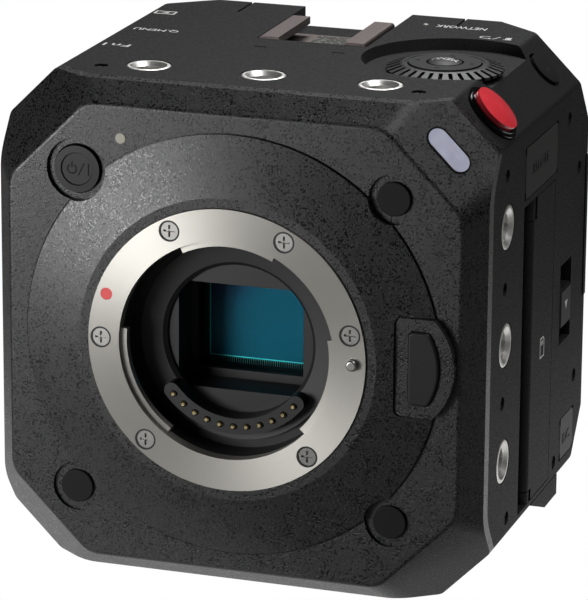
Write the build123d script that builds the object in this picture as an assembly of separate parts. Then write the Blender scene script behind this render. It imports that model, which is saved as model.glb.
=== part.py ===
"""Box video camera: an octagonal magnesium body with a bayonet lens mount.

Every piece is drawn round the optical axis, with y = 0 on the flat front face, +X to the
right of someone facing the lens, +Y towards the rear and +Z up.  save() then moves it to the
part's own frame, whose origin is the mouth of the tripod socket in the bottom face.
"""
import os
from collections import namedtuple
from math import cos, radians, sin, sqrt

from build123d import *

# Body
BODY_SIZE = 93.0
BODY_DEPTH = 74.7
LONG_CHAMFER = 9.0
FRONT_BEVEL = 3.55
FRONT_BEVEL_DEPTH = 4.7
FRONT_CORNER_CUT = 14.9
FRONT_FACET_DEPTH = 9.9
FRONT_CORNER_ROUND = 7.0
FRONT_EDGE_ROUND = 1.0
LONG_EDGE_ROUND = 1.5
REAR_CORNER_CUT = 17.8
REAR_FACET_DEPTH = 7.1
COVER_WALL = 1.8
FRONT_COVER_DEPTH = 2.8
REAR_SEAM = 65.4
FRAME_WALL = 2.4
FRAME_DEPTH = 24.4

# Clearances
SEAT_GAP = 0.03
RUN_GAP = 0.06
BUTTON_GAP = 0.15
DOOR_GAP = 0.2

# Lens mount
MOUNT_RADIUS = 26.4
MOUNT_FACE = 5.9
MOUNT_STAND = 3.3
MOUNT_FLANGE = 2.4
THROAT_WALL = 0.9
SPRING_THICKNESS = 0.4
SPRING_HALF_ANGLE = 17.0
FLANGE_FOCAL_DISTANCE = 19.25
CLAW_REACH = 1.2
CLAW_RECESS = 0.9
CLAW_THICKNESS = 1.5
CLAW_SPANS = ((64.0, 116.0), (174.0, 236.0), (-44.0, 11.0))
MOUNT_SCREW_INSET = 2.4
SCREW_GAP = 0.1
MOUNT_SCREW_ANGLES = (12.8, 62.9, 116.6, 179.4, 230.0, 310.5)
INDEX_ANGLE = 159.5
INDEX_INSET = 2.0
INDEX_RADIUS = 1.12
SURROUND_INSET = 7.1
SURROUND_LIP = 1.9
SURROUND_RIM = 0.5
SURROUND_STAND = 2.9
SURROUND_GAP = 0.15
SURROUND_GROOVE = 0.3

# Throat, contacts and sensor
THROAT_LEDGE_WIDTH = 1.8
THROAT_PLATE_DEPTH = 4.0
THROAT_PLATE_RISE = 0.5
THROAT_WELL = 4.4
APERTURE_INSET = 4.7
APERTURE_BEVEL = 0.7
CONTACT_INSET = 3.1
CONTACT_COUNT = 11
CONTACT_STEP = 9.5
CONTACT_BLOCK_HALF_WIDTH = 1.5
CONTACT_BLOCK_FRONT = 1.2
CONTACT_PIN_RADIUS = 0.5
CONTACT_PIN_GAP = 0.12
CONTACT_STAND = 0.6
CONTACT_TRAVEL = 0.5
SENSOR_DIE = (19.4, 14.2)
SENSOR_DIE_THICKNESS = 0.5
SENSOR_PACKAGE = (28.0, 22.0)
SENSOR_PACKAGE_DEPTH = 3.6
SENSOR_PACKAGE_WELL = (22.2, 17.2)
SENSOR_DIE_RECESS = 1.0
FILTER_SIZE = (23.6, 18.6)
FILTER_THICKNESS = 1.6
SENSOR_FRAME = (38.0, 34.0)
SENSOR_TUNNEL = (24.0, 20.0)
SENSOR_LIP = 1.2
SENSOR_LIP_OPENING = (21.8, 16.8)
BOARD_THICKNESS = 1.2
SPREADER_THICKNESS = 1.5
BOARD_GAP = 0.4
BOARD_TOP_INSET = 16.5

# Lens lock and release
LOCK_PIN_RADIUS = 1.05
LOCK_PIN_STAND = 1.1
LOCK_ARM = 1.4
LOCK_ARM_HALF_WIDTH = 2.0
LOCK_ARM_SETBACK = 1.5
LOCK_TRAVEL = 1.4
RELEASE_TRAVEL = 2.0
RELEASE_STAND = 1.6
RELEASE_EDGE = 4.2
RELEASE_HOUSING_SIZE = (10.9, 18.2)
RELEASE_BUTTON_EDGE = 6.9
RELEASE_BUTTON_SIZE = (5.7, 13.6)
RELEASE_PROUD = 0.7

# Power button, lamps and rubber caps
POWER_INSET = (16.75, 16.1)
POWER_RADIUS = 4.35
POWER_RECESS_RADIUS = 5.8
POWER_RECESS = 0.9
POWER_PROUD = 0.1
POWER_DOME = 0.05
POWER_DISH_RADIUS = 3.1
POWER_LAMP_INSET = (25.3, 9.6)
POWER_LAMP_RADIUS = 0.95
TALLY_LENGTH = 9.5
TALLY_WIDTH = 3.9
TALLY_DEPTH = 1.4
CAP_INSET = 16.3
CAP_RADIUS = 3.15
CAP_RECESS_RADIUS = 4.65
CAP_RECESS = 0.7
CAP_THICKNESS = 0.6
CAP_SCREW_RADIUS = 2.4

# Thread inserts
INSERT_ROW = 17.3
INSERT_CORNER = 24.3
INSERT_RADIUS = 4.25
INSERT_FLANGE = 1.2
INSERT_SHANK = 3.7
INSERT_LENGTH = 7.0
INSERT_LEAD = 0.8
INSERT_ROUND = 0.5
THREAD_RADIUS = 2.6
THREAD_LENGTH = 6.0
INSERT_BOSS = 5.8
REAR_BOTTOM_INSERT = 39.5

# Shoulder buttons
RECORD_Y = 20.3
RECORD_RADIUS = 4.7
RECORD_STAND = 1.9
RECORD_DOME = 0.7
RECORD_COLLAR = 5.8
RECORD_COLLAR_NECK = 5.3
RECORD_COLLAR_STAND = 1.1
DELETE_Y = 57.2
DELETE_RADIUS = 3.4
DELETE_STAND = 0.5
DELETE_DOME = 0.15
DELETE_GAP = 0.5
FUNCTION_Y = 32.0
PLAYBACK_Y = 45.0
SMALL_BUTTON_RADIUS = 3.0
SMALL_BUTTON_DOME = 0.4
KEY_FLANGE = 0.8
KEY_FLANGE_THICKNESS = 0.7
KEY_TRAVEL = 0.6
SWITCH_THICKNESS = 1.1
SWITCH_CUP_WALL = 0.6

# Control dial and cursor
DIAL_INSET = 17.9
DIAL_Y = 36.6
DIAL_RADIUS = 10.9
DIAL_PROUD = 0.3
DIAL_RIM_DROP = 0.9
DIAL_RIM = 0.5
DIAL_UNDERCUT = 1.6
DIAL_FLOOR_GAP = 0.1
DIAL_WALL_GAP = 0.4
DIAL_RIBS = 32
DIAL_RIB_INNER = 7.9
DIAL_GROOVE_WIDTH = 0.75
DIAL_GROOVE_DEPTH = 0.7
POCKET_Y = 41.4
POCKET_RADIUS = 16.9
POCKET_FLOOR_RADIUS = 16.2
POCKET_DEPTH = 2.0
POCKET_FLOOR_THICKNESS = 1.3
HUB_INNER = 6.95
HUB_WALL = 0.35
HUB_PLATE_RADIUS = 9.5
HUB_DEPTH = 4.2
HUB_PLATE = 1.2
CURSOR_RADIUS = 6.7
CURSOR_THICKNESS = 1.8
CURSOR_BORE = 3.5
CURSOR_TILT = 2.0
CARRIER_RADIUS = 6.5
CARRIER_BORE = 4.6
CARRIER_THICKNESS = 1.0
GIMBAL_PIN = 0.35
MENU_RADIUS = 3.15
MENU_DOME = 0.6
MENU_TRAVEL = 0.5

# Accessory shoe
SHOE_FRONT = 45.2
SHOE_REAR = 64.2
SHOE_OUTER = 21.0
SHOE_THROAT = 13.0
SHOE_SLOT = 18.7
SHOE_SLOT_HEIGHT = 2.1
SHOE_RAIL = 1.4
SHOE_PROUD = 0.5
SHOE_PLATE = 0.8
SHOE_CHANNEL_GAP = 0.4
SHOE_SPRING_WIDTH = 8.0
SHOE_SPRING_THICKNESS = 0.3

# Card door, latch and slots
BAY_FRONT = 28.4
BAY_REAR = 50.6
BAY_BOTTOM_INSET = 10.1
BAY_TOP_INSET = 23.6
BAY_FLOOR = 4.6
BAY_WALL = 1.2
DOOR_FRONT = 34.4
DOOR_EARS = (2.2, 4.2)
DOOR_BARREL = 1.5
DOOR_OPENING = 105.0
DOOR_PIN = 0.6
CARD_WIDTH = 24.4
CARD_SLOT = 2.6
CARD_DEPTH = 26.0
CARD_ROW = 43.0
LATCH_SLOT = (56.0, 64.0, -11.4, 4.3)
LATCH_KNOB_HEIGHT = 7.9
LATCH_KNOB_BOTTOM = -8.5
LATCH_TRAVEL = 2.5
LATCH_FOOT = 1.3

# Hinged flaps over the sockets: front and rear edges, outer and inner distances from the corner
REMOTE_FLAP_SPAN = (28.4, 51.7)
REMOTE_FLAP_INSET = (12.5, 22.5)
DC_FLAP_SPAN = (58.3, 68.7)
DC_FLAP_INSET = (11.0, 19.5)
FLAP_THICKNESS = 1.4
FLAP_CORNER = 1.5
FLAP_OPENING = 100.0
FLAP_PIN = 0.35
FLAP_PIN_LENGTH = 0.9
SOCKET_BAY_DEPTH = 4.6
JACK_RADIUS = 3.0
JACK_LENGTH = 9.0
JACK_BORE_DEPTH = 7.0
JACK_STEP = 1.0

# Rear
BATTERY_BAY_WIDTH = 40.0
BATTERY_BAY_INSET = (11.5, 7.5)
BATTERY_BAY_DEPTH = 4.6
BATTERY_FLOOR = 1.4
BNC_INSET = 15.0
BNC_MIDDLE = 6.0
BNC_SPREAD = 28.5
BNC_RADIUS = 4.8
BNC_LENGTH = 9.0
TERMINAL_FLAP_WIDTH = 17.5
TERMINAL_FLAP_INSET = 24.5
TERMINAL_THICKNESS = 1.6
TERMINAL_OPENING = 100.0
NETWORK_SIZE = (16.0, 14.0)
NETWORK_INSET = 14.0
SOCKET_ROW_GAPS = (2.5, 4.5)
NETWORK_DEPTH = 13.0
NETWORK_PORT = (11.8, 8.2)
NETWORK_PORT_DEPTH = 11.0
NETWORK_LATCH = (6.0, 3.0)
NETWORK_STEP = 0.8
VIDEO_PORT = (6.0, 16.0)
BUS_PORT = (4.2, 10.0)
REAR_GROOVE_X = 21.7
REAR_GROOVE = 0.5
RELEASE_KEY = (9.0, 5.0)
RELEASE_KEY_INSET = 17.5
RELEASE_KEY_TRAVEL = 3.0
RELEASE_KEY_STAND = 0.6
RELEASE_KEY_FOOT = 1.2
CONTACT_BLOCK = (16.0, 7.0)
CONTACT_BLOCK_RISE = 4.0
CONTACT_BLOCK_THICKNESS = 2.6
BLADE_SLOTS = 5
BLADE_PITCH = 3.0
BLADE_SLOT = 1.0

# Screws in the covers: distance behind the front face, then in from the corner or off the middle
HIGH_SCREWS = ((16.3, 14.7), (60.0, 14.3))
LOW_SCREWS = ((20.6, 12.2), (54.3, 12.2))
MIDDLE_SCREWS = ((16.0, 10.8), (16.0, -10.8), (68.2, 20.7), (68.2, -20.8))
TOP_SCREW = (14.2, 16.2)
COVER_SCREW_RADIUS = 1.3
COVER_SCREW_RECESS = 0.4
COVER_SCREW_HEAD = 0.8
COVER_SCREW_SHANK = 0.7
MOUNT_SCREW_RADIUS = 1.7
MOUNT_SCREW_HEAD = 0.9
MOUNT_SCREW_SHANK = 0.8
MOUNT_SCREW_LENGTH = 5.0
MOUNT_SCREW_RECESS = 0.15
CAP_SCREW_HEAD = 1.0
CAP_SCREW_SHANK = 1.0
CAP_SCREW_LENGTH = 3.6
CAP_SCREW_RECESS = 0.1

# Fan and heat sink
FAN_SIZE = 42.0
FAN_DEPTH = 11.0
FAN_X = -13.5
FAN_BORE = 19.4
FAN_HUB = 8.0
FAN_BLADES = 7
FAN_BLADE_GAP = 0.6
FAN_SHAFT = 1.5
FAN_SPIDER = 1.4
SINK_BASE = 1.5
SINK_DEPTH = 11.0
SINK_FINS = 9
GRILLE_FRONT = 36.0
GRILLE_REAR = 56.0
GRILLE_HEIGHT = 40.0
GRILLE_SLATS = 9

# Wedge under the card-side shoulder
WEDGE_FRONT = 37.6
WEDGE_FULL = 48.5
WEDGE_REAR = 57.2
WEDGE_DROP = 4.0
WEDGE_INSET = 6.0

HALF = BODY_SIZE / 2
FLAT_HALF = HALF - FRONT_BEVEL
SIDE_EDGE = HALF - LONG_CHAMFER
SHOULDER = HALF - LONG_CHAMFER / 2
RIM_FRONT = -MOUNT_STAND
SENSOR_PLANE = RIM_FRONT + FLANGE_FOCAL_DISTANCE
FRAME_FRONT = FRONT_COVER_DEPTH
FRAME_BACK = FRAME_FRONT + FRAME_WALL
INNER = HALF - COVER_WALL
POCKET_FLOOR = HALF - POCKET_DEPTH
MOUNT_THROAT = MOUNT_RADIUS - MOUNT_FACE
SCREW_CIRCLE = MOUNT_RADIUS - MOUNT_SCREW_INSET
INDEX_CIRCLE = MOUNT_RADIUS - INDEX_INSET
THROAT_LEDGE = MOUNT_THROAT - THROAT_LEDGE_WIDTH
APERTURE_RADIUS = THROAT_LEDGE - APERTURE_INSET
CONTACT_RADIUS = THROAT_LEDGE - CONTACT_INSET
SURROUND_RADIUS = HALF - SURROUND_INSET
SURROUND_TOP_RADIUS = MOUNT_RADIUS + SURROUND_LIP
RELEASE_HOUSING = (HALF - RELEASE_EDGE - RELEASE_HOUSING_SIZE[0], HALF - RELEASE_EDGE)
RELEASE_BUTTON = (HALF - RELEASE_BUTTON_EDGE - RELEASE_BUTTON_SIZE[0], HALF - RELEASE_BUTTON_EDGE)
POWER_X = POWER_INSET[0] - HALF
POWER_Z = HALF - POWER_INSET[1]
POWER_LAMP_X = POWER_LAMP_INSET[0] - HALF
POWER_LAMP_Z = HALF - POWER_LAMP_INSET[1]
CAP_OFFSET = HALF - CAP_INSET
INSERT_PITCH = HALF - INSERT_CORNER
DIAL_X = HALF - DIAL_INSET
DIAL_TOP = HALF + DIAL_PROUD
BAY_BOTTOM = BAY_BOTTOM_INSET - HALF
BAY_TOP = HALF - BAY_TOP_INSET
DOOR_BOTTOM = BAY_BOTTOM + DOOR_EARS[0]
DOOR_TOP = BAY_TOP - DOOR_EARS[1]
REMOTE_FLAP = (*REMOTE_FLAP_SPAN, HALF - REMOTE_FLAP_INSET[1], HALF - REMOTE_FLAP_INSET[0])
DC_FLAP = (*DC_FLAP_SPAN, DC_FLAP_INSET[0] - HALF, DC_FLAP_INSET[1] - HALF)
BATTERY_BAY_BOTTOM = BATTERY_BAY_INSET[0] - HALF
BATTERY_BAY_TOP = HALF - BATTERY_BAY_INSET[1]
BNC_X = BNC_INSET - HALF
BNC_ROWS = [BNC_MIDDLE + i * (HALF - BNC_SPREAD) for i in (1, 0, -1)]
NETWORK_BOTTOM = DC_FLAP[3] + SOCKET_ROW_GAPS[0]
NETWORK_CENTRE = (HALF - NETWORK_INSET, NETWORK_BOTTOM + NETWORK_SIZE[1] / 2)
TERMINAL_BOTTOM = NETWORK_BOTTOM + NETWORK_SIZE[1] + SOCKET_ROW_GAPS[1]
TERMINAL_FLAP = (HALF - TERMINAL_FLAP_WIDTH, TERMINAL_BOTTOM, HALF - TERMINAL_FLAP_INSET)

FORWARD = (0, -1, 0)
BACK = (0, 1, 0)
UP = (0, 0, 1)
DOWN = (0, 0, -1)
RIGHT = (1, 0, 0)
LEFT = (-1, 0, 0)
FROM_BASE = (Align.CENTER, Align.CENTER, Align.MIN)
HANG = (Align.CENTER, Align.CENTER, Align.MAX)


# Drawing helpers

def rod(radius, start, direction, length):
    """A cylinder that starts at a point and runs along a direction."""
    return Plane(origin=start, z_dir=direction) * Cylinder(radius, length, align=FROM_BASE)


def tube(outer, inner, start, direction, length):
    return rod(outer, start, direction, length) - rod(inner, start, direction, length)


def block(x_range, y_range, z_range):
    """A box between two limits on each axis."""
    spans = [sorted(limits) for limits in (x_range, y_range, z_range)]
    sizes = [high - low for low, high in spans]
    middle = [(low + high) / 2 for low, high in spans]
    return Pos(*middle) * Box(*sizes)


def centred(size, y_range, x=0.0, z=0.0):
    """A box of a given width and height round a point of the front view."""
    width, height = size
    return block((x - width / 2, x + width / 2), y_range, (z - height / 2, z + height / 2))


def front_slab(sketch, front, back):
    """A sketch drawn as seen from the front, made solid between two depths."""
    plane = Plane(origin=(0, back, 0), x_dir=RIGHT, z_dir=FORWARD)
    return plane * extrude(sketch, back - front)


def side_slab(sketch, inner, outer):
    """A sketch of (y, z) made solid between two distances from the middle, on the +X side."""
    plane = Plane(origin=(inner, 0, 0), x_dir=BACK, z_dir=RIGHT)
    return plane * extrude(sketch, outer - inner)


def rounded(y_range, z_range, radius):
    width = y_range[1] - y_range[0]
    height = z_range[1] - z_range[0]
    centre = Pos((y_range[0] + y_range[1]) / 2, (z_range[0] + z_range[1]) / 2)
    return centre * RectangleRounded(width, height, radius)


def polar(radius, angle):
    """A point (x, z) of the front view at a radius and an angle from +X."""
    return radius * cos(radians(angle)), radius * sin(radians(angle))


def sector(outer, inner, start, end, front, back):
    """A ring sector of the front view between two angles, closed by arcs."""
    middle = (start + end) / 2
    edge = [
        ThreePointArc(polar(outer, start), polar(outer, middle), polar(outer, end)),
        Line(polar(outer, end), polar(inner, end)),
        ThreePointArc(polar(inner, end), polar(inner, middle), polar(inner, start)),
        Line(polar(inner, start), polar(outer, start)),
    ]
    return front_slab(make_face(edge), front, back)


def turned(profile):
    """A profile of (radius, depth) points turned round the optical axis."""
    face = make_face(Polyline(*[(r, y, 0) for r, y in profile], close=True))
    return revolve(face, Axis.Y, 360)


def shoulder_plane(y, side=1, depth=0.0):
    """A plane on the upper long chamfer, its Z pointing out of the body."""
    reach = SHOULDER - depth / sqrt(2)
    return Plane(origin=(side * reach, y, reach), x_dir=BACK, z_dir=(side, 0, 1))


def mirrored(shape):
    return mirror(shape, Plane.YZ)


# Outer form

CHAMFER_SUM = 2 * HALF - LONG_CHAMFER
FACET_SUM = 2 * FLAT_HALF - FRONT_CORNER_CUT
FACET_SLOPE = (CHAMFER_SUM - FACET_SUM) / FRONT_FACET_DEPTH
REAR_SUM = 2 * HALF - REAR_CORNER_CUT
REAR_SLOPE = (CHAMFER_SUM - REAR_SUM) / REAR_FACET_DEPTH
CORNERS = [(i, j) for i in (1, -1) for j in (1, -1)]


def front_planes():
    """Points and outward normals of the front face, its bevels and its corner facets."""
    planes = [((0, 0, 0), FORWARD)]
    rise = HALF - FLAT_HALF
    for x, z in ((1, 0), (-1, 0), (0, 1), (0, -1)):
        normal = (x * FRONT_BEVEL_DEPTH, -rise, z * FRONT_BEVEL_DEPTH)
        planes.append(((x * FLAT_HALF, 0, z * FLAT_HALF), normal))
    for x, z in CORNERS:
        planes.append(((x * FACET_SUM / 2, 0, z * FACET_SUM / 2), (x, -FACET_SLOPE, z)))
    return planes


def side_planes():
    planes = [((x * HALF, 0, z * HALF), (x, 0, z)) for x, z in ((1, 0), (-1, 0), (0, 1), (0, -1))]
    planes += [((x * SHOULDER, 0, z * SHOULDER), (x, 0, z)) for x, z in CORNERS]
    return planes


def rear_planes():
    planes = [((0, BODY_DEPTH, 0), BACK)]
    planes += [((x * REAR_SUM / 2, BODY_DEPTH, z * REAR_SUM / 2), (x, REAR_SLOPE, z)) for x, z in CORNERS]
    return planes


def cut_to(shape, planes, inset=0.0):
    """Cut a shape back to a set of planes, each moved inwards by an inset."""
    for point, normal in planes:
        direction = Vector(*normal).normalized()
        plane = Plane(origin=Vector(*point) - direction * inset, z_dir=direction)
        shape = split(shape, bisect_by=plane, keep=Keep.BOTTOM)
    return shape


def round_front_corners(shape):
    """Blend each corner facet into the bevels beside it."""
    reach = FACET_SUM + FACET_SLOPE * FRONT_BEVEL_DEPTH - HALF
    near = ((FACET_SUM - FLAT_HALF) + reach) / 2
    far = (FLAT_HALF + HALF) / 2
    edges = []
    for x, z in CORNERS:
        for u, w in ((near, far), (far, near)):
            middle = Vector(x * u, FRONT_BEVEL_DEPTH / 2, z * w)
            edges.append(min(shape.edges(), key=lambda edge: (edge.center() - middle).length))
    return fillet(edges, FRONT_CORNER_ROUND)


def body_hull():
    """The whole outer form of the body."""
    raw = block((-BODY_SIZE, BODY_SIZE), (-BODY_SIZE, 2 * BODY_SIZE), (-BODY_SIZE, BODY_SIZE))
    prism = cut_to(raw, side_planes())
    prism = fillet(prism.edges().filter_by(Axis.Y), LONG_EDGE_ROUND)
    hull = round_front_corners(cut_to(prism, front_planes() + rear_planes()))
    return fillet(hull.faces().sort_by(Axis.Y)[0].edges(), FRONT_EDGE_ROUND)


def behind_front_cover():
    """Everything behind the front cover's back face, past the sides and the rear."""
    raw = block((-BODY_SIZE, BODY_SIZE), (-BODY_SIZE, 3 * BODY_SIZE), (-BODY_SIZE, BODY_SIZE))
    grown = cut_to(raw, front_planes())
    return Pos(0, FRONT_COVER_DEPTH, 0) * round_front_corners(cut_to(grown, side_planes(), -1.0))


def octagon(inset, front, back):
    """A prism of the body's section, its walls moved inwards by an inset."""
    raw = block((-BODY_SIZE, BODY_SIZE), (front, back), (-BODY_SIZE, BODY_SIZE))
    return cut_to(raw, side_planes(), inset)


def shell_core():
    """The hollow inside the covers."""
    raw = block((-BODY_SIZE, BODY_SIZE), (-1.0, BODY_DEPTH), (-BODY_SIZE, BODY_SIZE))
    return cut_to(raw, side_planes() + rear_planes(), COVER_WALL)


HULL = body_hull()
BEHIND = behind_front_cover()
CORE = shell_core()


# Cutters and fittings that several covers share

def d_outline(x_range, height, round_radius):
    """A D seen from the front: flat towards the lens, bowed on the outer side."""
    left, right = x_range
    half = height / 2
    bow = 0.35 * (right - left)
    edge = [
        Line((left, -half), (left, half)),
        Line((left, half), (right - bow, half)),
        ThreePointArc((right - bow, half), (right, 0), (right - bow, -half)),
        Line((right - bow, -half), (left, -half)),
    ]
    return fillet(make_face(edge).vertices(), round_radius)


def cap_places():
    return ((CAP_OFFSET, CAP_OFFSET), (-CAP_OFFSET, -CAP_OFFSET), (CAP_OFFSET, -CAP_OFFSET))


def cap_recesses(radius, front, back):
    return [rod(radius, (x, front, z), BACK, back - front) for x, z in cap_places()]


Key = namedtuple("Key", "y side radius stand dome hole")


def shoulder_keys():
    """Each shoulder key's place along the body, its side, cap and the hole in the cover."""
    small = (SMALL_BUTTON_RADIUS, 0.0, SMALL_BUTTON_DOME, SMALL_BUTTON_RADIUS + BUTTON_GAP)
    delete_hole = DELETE_RADIUS + DELETE_GAP
    return {
        "record": Key(RECORD_Y, 1, RECORD_RADIUS, RECORD_STAND, RECORD_DOME, RECORD_COLLAR + SEAT_GAP),
        "delete": Key(DELETE_Y, 1, DELETE_RADIUS, DELETE_STAND, DELETE_DOME, delete_hole),
        "function": Key(FUNCTION_Y, -1, *small),
        "playback": Key(PLAYBACK_Y, -1, *small),
    }


def cup_radius(radius):
    return radius + KEY_FLANGE + BUTTON_GAP + SWITCH_CUP_WALL


def cup_depth():
    return KEY_FLANGE_THICKNESS + KEY_TRAVEL + 2 * RUN_GAP + SWITCH_THICKNESS


def button(plane, radius, stand, dome, wall):
    """A push button: a domed cap through a wall and a flange that stops it behind."""
    length = wall + RUN_GAP + KEY_FLANGE_THICKNESS
    stem = Pos(0, 0, -wall - RUN_GAP) * Cylinder(radius, wall + RUN_GAP + stand, align=FROM_BASE)
    flange = Pos(0, 0, -length) * Cylinder(radius + KEY_FLANGE, KEY_FLANGE_THICKNESS, align=FROM_BASE)
    return plane * (stem + flange + Pos(0, 0, stand) * dome_cap(radius, dome))


def dome_cap(radius, height):
    """A shallow dome on the XY plane."""
    ball_radius = (radius ** 2 + height ** 2) / (2 * height)
    ball = Pos(0, 0, height - ball_radius) * Sphere(ball_radius)
    return ball & Cylinder(radius, height + 1, align=FROM_BASE)


def switch_cup(plane, radius, wall):
    """The switch under a button, in a cup that seats on the back of the wall."""
    outer = cup_radius(radius)
    depth = cup_depth()
    cup = Pos(0, 0, -wall - depth) * Cylinder(outer, depth, align=FROM_BASE)
    room = Pos(0, 0, -wall - depth + SWITCH_THICKNESS)
    hollow = room * Cylinder(outer - SWITCH_CUP_WALL, depth, align=FROM_BASE)
    return plane * (cup - hollow)


def screw(plane, head_radius, head, shank_radius, length, recess):
    """A screw with a cross recess, its head sunk below the face."""
    top = Pos(0, 0, -recess)
    body = top * Cylinder(head_radius, head, align=HANG)
    body += top * Cylinder(shank_radius, length, align=HANG)
    for turn in (0, 90):
        slot = Rot(0, 0, turn) * Box(1.3 * head_radius, 0.22 * head_radius, head)
        body -= top * slot
    return plane * body


def screw_hole(plane, head_radius, head, shank_radius, length, recess):
    hole = Cylinder(head_radius + SEAT_GAP, recess + head, align=HANG)
    hole += Cylinder(shank_radius + SEAT_GAP, recess + length + SEAT_GAP, align=HANG)
    return plane * hole


def cover_screw_length(y):
    """Screws ahead of the frame's rear edge reach into it, the others end in their cover."""
    return 3.0 if y < FRAME_DEPTH else COVER_WALL - COVER_SCREW_RECESS - 0.2


def cover_screw_planes():
    """A plane and a length for each screw of the covers."""
    spots = [(y, HALF - inset) for y, inset in HIGH_SCREWS]
    spots += [(y, inset - HALF) for y, inset in LOW_SCREWS]
    spots += MIDDLE_SCREWS
    places = []
    for side in (1, -1):
        for y, z in spots:
            plane = Plane(origin=(side * HALF, y, z), x_dir=BACK, z_dir=(side, 0, 0))
            places.append((plane, cover_screw_length(y)))
        y, inset = TOP_SCREW
        for x in (inset - HALF, HALF - inset):
            plane = Plane(origin=(x, y, side * HALF), x_dir=RIGHT, z_dir=(0, 0, side))
            places.append((plane, cover_screw_length(y)))
    return places


def cover_screw_holes():
    head = (COVER_SCREW_RADIUS, COVER_SCREW_HEAD, COVER_SCREW_SHANK)
    return [screw_hole(plane, *head, length, COVER_SCREW_RECESS) for plane, length in cover_screw_planes()]


def insert_planes():
    """The mouth of each thread insert, in the four groups that the faces hold."""
    spots = (-INSERT_PITCH, 0.0, INSERT_PITCH)
    return {
        "top_inserts": [Plane(origin=(x, INSERT_ROW, HALF), x_dir=RIGHT, z_dir=UP) for x in spots],
        "card_side_inserts": [Plane(origin=(HALF, INSERT_ROW, z), x_dir=BACK, z_dir=RIGHT) for z in spots],
        "fan_side_inserts": [Plane(origin=(-HALF, INSERT_ROW, z), x_dir=BACK, z_dir=LEFT) for z in spots],
        "bottom_inserts": [
            Plane(origin=(0, y, -HALF), x_dir=RIGHT, z_dir=DOWN) for y in (INSERT_ROW, REAR_BOTTOM_INSERT)
        ],
    }


def insert_holes():
    holes = []
    for planes in insert_planes().values():
        for plane in planes:
            hole = Cylinder(INSERT_RADIUS + SEAT_GAP, INSERT_FLANGE, align=HANG)
            hole += Cylinder(INSERT_SHANK + SEAT_GAP, INSERT_LENGTH, align=HANG)
            holes.append(plane * hole)
    return holes


def flap_parts(limits):
    """The opening in the wall, the flap that fills it and the bay behind it, on the card side."""
    front, rear, bottom, top = limits
    outline = rounded((front, rear), (bottom, top), FLAP_CORNER)
    opening = side_slab(outline, INNER - 1.0, HALF + 1.0)
    hinge_x, hinge_y = flap_hinge(limits)
    half_pin = FLAP_THICKNESS / 2
    gap = DOOR_GAP
    blank = rounded((front + gap, rear - gap), (bottom + gap, top - gap), FLAP_CORNER - gap)
    plate = side_slab(blank, HALF - FLAP_THICKNESS, HALF)
    plate -= block((0, HALF + 1), (front - 1, hinge_y), (bottom, top))
    nose_start = (hinge_x, hinge_y, bottom + FLAP_CORNER)
    nose = rod(half_pin, nose_start, UP, top - bottom - 2 * FLAP_CORNER)
    pin_start = (hinge_x, hinge_y, bottom + gap - FLAP_PIN_LENGTH)
    stub = rod(FLAP_PIN, pin_start, UP, top - bottom - 2 * gap + 2 * FLAP_PIN_LENGTH)
    pin_room_start = (hinge_x, hinge_y, bottom - FLAP_PIN_LENGTH)
    pin_room = rod(FLAP_PIN + RUN_GAP, pin_room_start, UP, top - bottom + 2 * FLAP_PIN_LENGTH)
    return opening, plate + nose + stub, pin_room


def flap_hinge(limits):
    """The hinge line of a flap: its distance from the middle and behind the front face."""
    half_pin = FLAP_THICKNESS / 2
    return HALF - half_pin, limits[0] + DOOR_GAP + half_pin


def socket_bay(limits):
    """The box behind a flap, fused to the cover, that holds the sockets."""
    front, rear, bottom, top = limits
    wall = BAY_WALL
    deep = HALF - SOCKET_BAY_DEPTH
    outer = block((deep - wall, INNER), (front - wall, rear + wall), (bottom - wall, top + wall))
    return outer, block((deep, HALF), (front, rear), (bottom, top))


def jack_places():
    """Mouths of the round sockets behind the two flaps, as (y, z)."""
    front, rear, bottom, top = REMOTE_FLAP
    third = (rear - front) / 3
    middle = (bottom + top) / 2
    dc_middle = ((DC_FLAP[0] + DC_FLAP[1]) / 2, (DC_FLAP[2] + DC_FLAP[3]) / 2)
    return [(front + third, middle, 1.3), (front + 2 * third, middle, 1.8), (*dc_middle, 1.6)]


# Covers

def release_housing():
    outline = d_outline(RELEASE_HOUSING, RELEASE_HOUSING_SIZE[1], 1.2)
    return front_slab(outline, -RELEASE_STAND, 1.0)


def release_opening(gap, front, back):
    left, right = RELEASE_BUTTON
    grown = (left - gap, right + gap)
    return front_slab(d_outline(grown, RELEASE_BUTTON_SIZE[1] + 2 * gap, 1.0 + gap), front, back)


def front_cover():
    """The flat front with its bevels, facets, release housing and recesses."""
    cover = HULL - BEHIND
    groove = SURROUND_RADIUS + SURROUND_GROOVE
    cover -= tube(groove, SURROUND_RADIUS, (0, -1, 0), BACK, 1 + SURROUND_GROOVE)
    cover += release_housing()
    cover -= rod(MOUNT_RADIUS + SURROUND_GAP, (0, -5, 0), BACK, 20)
    cover -= release_opening(BUTTON_GAP, -5, 10)
    cover -= rod(POWER_RECESS_RADIUS, (POWER_X, -5, POWER_Z), BACK, 5 + POWER_RECESS)
    cover -= rod(POWER_RADIUS + 2 * BUTTON_GAP, (POWER_X, -5, POWER_Z), BACK, 15)
    cover -= rod(POWER_LAMP_RADIUS + SEAT_GAP, (POWER_LAMP_X, -5, POWER_LAMP_Z), BACK, 15)
    cover -= tally_solid(SEAT_GAP, 3.0)
    for recess in cap_recesses(CAP_RECESS_RADIUS, -5, CAP_RECESS):
        cover -= recess
    for hole in cap_screw_holes():
        cover -= hole
    return cover


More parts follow.
